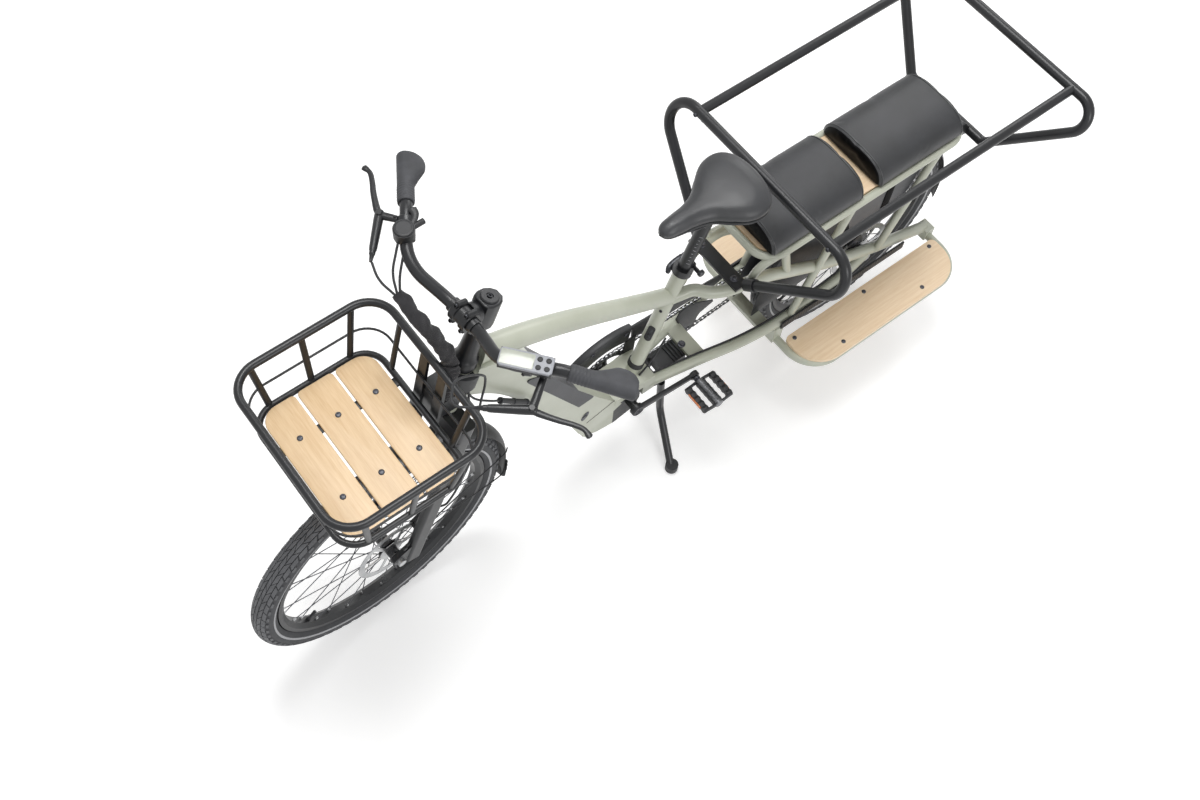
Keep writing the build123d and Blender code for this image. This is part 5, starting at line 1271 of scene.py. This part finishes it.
# ---------------------------------------------------------------- chainguard and tensioner
# A moulded guard shields the chain's top run: a broad arc over the chainring, bolted by two bosses,
# and a long blade behind it. Under the blade a stamped arm carries the tensioner's jockey wheel.
def slab(points, low, high, edge=0.0012):
    """A plate across Y from an outline of (x, z) corners in millimetres, between two heights of y."""
    outline = np.array(points, float)[:, ::-1] / 1000
    return plate(outline, low, high, edge, (0, 0, 0), (0, 0, 1), (1, 0, 0), 3)


guard_turn = np.radians(np.linspace(46, 112, 40))
outer_arc = np.stack([41 + 176 * np.cos(guard_turn), 290 + 172 * np.sin(guard_turn)], -1)
inner_turn = np.radians(np.linspace(118, 47, 40))
inner_arc = np.stack([41 + 122 * np.cos(inner_turn), 290 + 116 * np.sin(inner_turn)], -1)
guard_front = np.concatenate([outer_arc, inner_arc])
guard_rear = [(-26, 448), (-60, 446), (-150, 440), (-240, 429), (-306, 421), (-318, 414), (-314, 398), (-284, 388),
              (-201, 394), (-132, 394), (-60, 392), (-30, 390)]  # fmt: skip
guard = [
    slab(guard_front, -0.0560, -0.0480),
    slab(guard_rear, -0.0550, -0.0490),
    slab([(-8, 400), (-40, 400), (-38, 330), (-2, 330)], -0.0510, -0.0465, 0.0008),
]
rim_path = np.column_stack([outer_arc[:, 0] / 1000, np.full(40, -0.0535), outer_arc[:, 1] / 1000])
guard.append(swept(rim_path, 0.0018, 12, up=(0, 1, 0), flat=5.0, bulge=0.001))
make_piece("chainguard_moulded", guard, moulded, "frame", ["chainguard"])
guard_bolts = []
for x, z in ((93, 437), (-8, 434)):
    guard_bolts.append(turned([(0.0, 0.0045), (0.0, 0.0070), (0.0022, 0.0070), (0.0032, 0.0060), (0.0032, 0.0038), (0.0010, 0.0034)], (x / 1000, -0.0482, z / 1000), (0, 1, 0), 24))
make_piece("chainguard_bolts", guard_bolts, screw_steel, "frame")
tension_arm = [
    slab([(-172, 340), (-178, 362), (-200, 374), (-240, 360), (-296, 320), (-298, 311), (-256, 296), (-246, 280),
          (-246, 264), (-238, 259), (-228, 259), (-220, 262), (-198, 274)], -0.0505, -0.0470, 0.0010),
    slab([(-246, 262), (-250, 238), (-240, 228), (-226, 228), (-216, 240), (-222, 262)], -0.0650, -0.0625, 0.0008),
    turned([(-0.001, 0.0085), (0.0165, 0.0085)], (-0.233, -0.0645, 0.250), (0, 1, 0), 24),
]  # fmt: skip
make_piece("tensioner_arm", tension_arm, moulded, "frame", ["chain_tensioner"])
make_piece(
    "tensioner_wheel",
    [toothed((-0.233, chain_y, 0.250), 0.0084, 0.0262, 12, 0.0050, 0.0012),
     turned([(-0.0080, 0.0030), (-0.0080, 0.0062), (-0.0068, 0.0070), (-0.0060, 0.0070)], (-0.233, -0.0570, 0.250), (0, 1, 0), 20)],
    screw_steel, "frame",
)  # fmt: skip


# ---------------------------------------------------------------- seat tube and seat clamp
# The seat tube carries a cable's slotted grommet, a small screw and a rubber strap. Its clamp closes
# on the seat post with a cam lever, and a row of height marks is stamped down the post's front.
seat_axis = unit((-0.3249, 0, 1.0))


def on_seat_tube(z, ahead=0.0, left=0.0):
    """A point by its height on the seat tube's middle line, and how far ahead and to the left of it."""
    return np.array((0.021 - (z - 0.290) / 3.0777 + ahead, left, z))


strap = [(-0.0080, 0.0172), (-0.0080, 0.0192), (-0.0068, 0.0202), (0.0068, 0.0202), (0.0080, 0.0192), (0.0080, 0.0172)]
strap_shapes = [turned(strap, on_seat_tube(0.372), seat_axis, 48, ring=True)]
strap_shapes.append(swept(smooth_path([on_seat_tube(0.372, -0.019, -0.004), on_seat_tube(0.376, -0.026, -0.003), on_seat_tube(0.388, -0.028, 0.0)], 10), 0.0035, 10, flat=0.5))
make_piece("seat_tube_strap", strap_shapes, rubber, "frame")
face_turn = np.radians(25)
face = unit((np.cos(face_turn), np.sin(face_turn), 0.3249 * np.cos(face_turn)))
face_across = unit(np.cross(seat_axis, face))
slot_foot = on_seat_tube(0.490)
make_piece(
    "seat_tube_grommet",
    [plate(rounded_rectangle(0.050, 0.0185, 0.0092, 10), 0.0155, 0.0190, 0.0012, slot_foot, seat_axis, -face_across)],
    rubber, "frame",
)  # fmt: skip
make_piece(
    "seat_tube_plate",
    [plate(rounded_rectangle(0.036, 0.0085, 0.0042, 8), 0.0185, 0.0196, 0.0005, slot_foot, seat_axis, -face_across),
     screw(on_seat_tube(0.566) + face * 0.0168, face, 0.0042, 0.0026)],
    dark_steel, "frame",
)  # fmt: skip

clamp_foot = on_seat_tube(0.690)
lever_line = smooth_path(
    [clamp_foot + (-0.020, -0.0275, -0.001), clamp_foot + (-0.004, -0.0290, -0.003),
     clamp_foot + (0.014, -0.0270, -0.008), clamp_foot + (0.027, -0.0190, -0.015)], 20
)  # fmt: skip
clamp_parts = [
    swept(lever_line, np.interp(np.linspace(0, 1, 20), [0, 0.3, 0.8, 1], [0.0075, 0.0060, 0.0070, 0.0050]), 16, flat=0.5, bulge=0.002),
    turned([(-0.007, 0.0085), (0.007, 0.0085), (0.0078, 0.0072)], clamp_foot + (-0.026, -0.024, -0.001), (0, 1, 0), 28),
    turned([(-0.002, 0.0060), (-0.002, 0.0088), (0.004, 0.0088), (0.006, 0.0072), (0.006, 0.003)], clamp_foot + (-0.026, 0.031, -0.001), (0, 1, 0), 24),
]
make_piece("seat_clamp_lever", clamp_parts, dark_steel, "frame")
post_low, post_high = on_seat_tube(0.720), on_seat_tube(0.800)
marks = []
for number in range(9):
    place = post_low + (post_high - post_low) * number / 8
    around = np.radians(np.linspace(36, 52 if number % 4 else 64, 8))
    arc = np.outer(np.cos(around), unit((1, 0, 0.3249))) + np.outer(np.sin(around), (0, 1.0, 0))
    marks.append(swept(place + arc * 0.01505, 0.0006, 6, up=seat_axis))
make_piece("seat_post_marks", marks, reflective, "frame")


# ---------------------------------------------------------------- frame fittings
# The casing under the down tube is closed by a lock and shows a thin joint line. Bolts hold the hoop
# bracket, the yoke's plate and the calipers. A plug cable, a hose and the mudguards' flap and stays end it.
joint_line = [swept(np.array([(0.1770, side * 0.0450, 0.3300), (0.1350, side * 0.0450, 0.3420), (0.0940, side * 0.0450, 0.3540)]), 0.0009, 8) for side in (1, -1)]
make_piece("casing_joint_line", joint_line, rubber, "frame")
oval = np.stack([0.017 * np.cos(np.arange(40) * np.pi / 20), 0.0088 * np.sin(np.arange(40) * np.pi / 20)], -1)
lock_turn = np.radians(-62)
lock_u = (np.cos(lock_turn), 0, np.sin(lock_turn))
lock_v = (np.sin(lock_turn), 0, -np.cos(lock_turn))
make_piece("battery_lock", [plate(oval, 0.0, 0.0018, 0.0008, (0.184, 0.0447, 0.375), lock_u, lock_v)], screw_steel, "frame")
make_piece(
    "battery_lock_slot",
    [turned([(0.0, 0.0062), (0.0012, 0.0060), (0.0012, 0.0022)], (0.184, 0.0464, 0.375), (0, 1, 0), 28)],
    dark_steel, "frame",
)  # fmt: skip
fittings = []
for side in (1, -1):
    fittings.append(socket_bolt((-0.3012, side * 0.220, 0.8660), (1, 0, 0), 0.0052, 0.0040, 18))
    fittings.append(socket_bolt((-1.0715, side * 0.220, 0.8620), (-1, 0, 0), 0.0052, 0.0040, 18))
    fittings.append(socket_bolt((-0.313, side * 0.205, 0.8545), (0, 0, -1), 0.0045, 0.0050, 16))
for y in (-0.058, 0.058):
    fittings.append(turned([(-0.001, 0.0095), (0.0009, 0.0095), (0.0013, 0.0088)], (-0.223, y, 0.6188), (0, 0, 1), 24))
    fittings.append(socket_bolt((-0.223, y, 0.6198), (0, 0, 1), 0.0062, 0.0042, 20))
make_piece("frame_bolts", fittings, screw_steel, "frame")
yoke_bolt = [
    turned([(-0.002, 0.0098), (0.0010, 0.0098), (0.0016, 0.0088)], (-0.1400, 0.014, 0.3420), (0, 0, 1), 24),
    turned([(0.0, 0.0068), (0.0060, 0.0068), (0.0068, 0.0058), (0.0068, 0.0020)], (-0.1400, 0.014, 0.3430), (0, 0, 1), 6),
]
seat_hose = smooth_path([(-0.070, 0.022, 0.452), (-0.047, 0.024, 0.412), (-0.022, 0.025, 0.376), (0.002, 0.024, 0.350)], 30)
plug_line = np.array([(0.4270, 0.0540, 0.7440), (0.3950, 0.0545, 0.7050), (0.3620, 0.0540, 0.6640)])
plug_in = smooth_path([(0.498, 0.034, 0.838), (0.486, 0.050, 0.812), (0.456, 0.057, 0.780), (0.427, 0.054, 0.744)], 24)
plug_out = smooth_path([(0.362, 0.054, 0.664), (0.350, 0.0535, 0.648), (0.338, 0.050, 0.634), (0.326, 0.043, 0.620)], 14)
plugs = [swept(plug_line, 0.0062, 16, bulge=0.002), swept(plug_in, 0.0024, 10), swept(plug_out, 0.0024, 10)]
plugs += [turned([(-0.003, 0.0074), (0.003, 0.0074)], place, plug_line[0] - plug_line[-1], 16) for place in plug_line]
make_piece("cable_plugs", plugs, rubber, "frame")
make_piece("seat_tube_hose", [swept(seat_hose, 0.0026, 12, bulge=0.001)], rubber, "frame")
for name, body, middle, lean in (
    ("front_caliper_bolts", "steering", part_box("front_caliper"), (0.6, 0, 0.8)),
    ("rear_caliper_bolts", "frame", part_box("rear_caliper"), (0.8, 0, 0.6)),
):
    centre = (np.array(middle[0]) + np.array(middle[1])) / 2
    centre[1] = middle[1].y - 0.0015
    bolts = [socket_bolt(centre + np.array(lean) * reach, (0, 1, 0), 0.0045, 0.0035, 16) for reach in (-0.016, 0.016)]
    bolts.append(turned([(0.0, 0.0075), (0.0018, 0.0075), (0.0024, 0.0066)], centre, (0, 1, 0), 24))
    make_piece(name, bolts, screw_steel, body)
make_piece("yoke_bolt", yoke_bolt, screw_steel, "frame")
ridges = [
    swept(np.array([(x, -0.026, 0.3005), (x, 0.0, 0.3015), (x, 0.026, 0.3005)]), 0.0034, 12, flat=1.1, bulge=0.002)
    for x in np.arange(-0.143, -0.108, 0.0095)
]
make_piece("stand_block_ribs", ridges, moulded, "frame")

flap_turn = np.radians(190)
flap_down = np.array((-np.sin(flap_turn), 0, np.cos(flap_turn)))
flap_foot = np.array((0.732 + 0.3525 * np.cos(flap_turn), 0, 0.340 + 0.3525 * np.sin(flap_turn)))
share = np.linspace(0, np.pi, 17)
tongue = np.concatenate(
    [[(-0.018, 0.026)], np.stack([0.044 + 0.022 * np.sin(share), 0.030 * np.cos(share)], -1), [(-0.018, -0.026)]]
)
flap = [plate(tongue, -0.0045, -0.0020, 0.0008, flap_foot, flap_down, left_way, 3)]
for y in (-0.012, 0.012):
    flap.append(screw(flap_foot + flap_down * 0.004 + left_way * y - np.cross(flap_down, left_way) * 0.0042, -np.cross(flap_down, left_way), 0.0035, 0.002))
stays = []
for side in (1, -1):
    eye = np.array((0.712, side * 0.066, 0.372))
    for turn, bow in ((172, 0.010), (188, -0.004)):
        turn = np.radians(turn)
        end = np.array((0.732 + 0.3515 * np.cos(turn), side * 0.0305, 0.340 + 0.3515 * np.sin(turn)))
        bend = eye + (end - eye) * 0.90 + (0, side * 0.009, bow)
        stays.append(swept(smooth_path([eye, eye + (end - eye) * 0.4 + (0, 0, bow * 0.4), bend, end], 30), 0.0017, 8, bulge=0.001))
    stays.append(turned([(-0.003, 0.0055), (0.003, 0.0055), (0.004, 0.0045)], eye, (0, side, 0), 20))
make_piece("mudguard_stays", parked(stays), moulded, "steering")
make_piece("mudguard_flap", parked(flap), rubber, "steering")


# ---------------------------------------------------------------- wheel guards and panel bands
# Flat moulded guards stand on both sides of the rear wheel, clipped to the mudguard's edges, and keep
# clothes out of the spokes. A thin near-black band lies across the middle of each side panel.
band_finish = surface("near_black_band", "0c0c0d", 0.9, Specular_IOR_Level=0.12)
two_tones(band_finish, noise_of(band_finish, 700.0, 1.0), "0a0a0b", "111112")
relief(band_finish, noise_of(band_finish, 900.0, 1.0), 0.3, 0.0003)
rear_axle = np.array(wheel_joint["rear"]["pos_m"])
outer_turn = np.radians(np.linspace(-3, 118, 44))
inner_turn = np.radians(np.linspace(168, -3, 40))
outer_edge = np.stack([rear_axle[0] + 0.352 * np.cos(outer_turn), rear_axle[2] + 0.352 * np.sin(outer_turn)], -1)
inner_edge = np.stack([rear_axle[0] + 0.054 * np.cos(inner_turn), rear_axle[2] + 0.054 * np.sin(inner_turn)], -1)
guard_outline = np.concatenate([outer_edge, inner_edge]) * 1000
for side, name in ((1, "left"), (-1, "right")):
    faces = sorted((side * 0.0345, side * 0.0360))
    guard = [slab(guard_outline, faces[0], faces[1], 0.0005)]
    for turn in np.radians((35, 70, 105)):
        out = np.array((np.cos(turn), 0, np.sin(turn)))
        clip = rear_axle + out * 0.333 + (0, side * 0.0285, 0)
        guard.append(turned([(0.0, 0.0055), (0.0085, 0.0055), (0.0095, 0.0045)], clip, (0, side, 0), 16))
    make_piece(f"wheel_guard_{name}", guard, moulded, "frame")
    # a thin near-black band laid across the middle of the side panel
    band_faces = sorted((side * 0.0815, side * 0.0836))
    band_outline = [(-684, 646), (-684, 520), (-688, 512), (-706, 512), (-710, 520), (-710, 646)]
    make_piece(
        f"side_panel_band_{name}", [slab(band_outline, band_faces[0], band_faces[1], 0.0006)],
        band_finish, "frame",
    )  # fmt: skip
valve_turn = np.radians(-34)
for wheel in ("front", "rear"):
    joint = wheel_joint[wheel]
    ahead = unit(np.cross(joint["axis"], (0, 0, 1.0)))
    up = np.cross(ahead, joint["axis"])
    out = np.cos(valve_turn) * ahead + np.sin(valve_turn) * up
    foot = np.array(joint["pos_m"]) + out * (rim_radius[wheel] - 0.0120)
    valve = [(0.0, 0.0052), (0.0130, 0.0052), (0.0150, 0.0036), (0.0240, 0.0036), (0.0246, 0.0042), (0.0340, 0.0042),
             (0.0348, 0.0034)]  # fmt: skip
    make_piece(f"{wheel}_valve", [turned(valve, foot, -out, 20)], rubber, f"{wheel}_wheel")
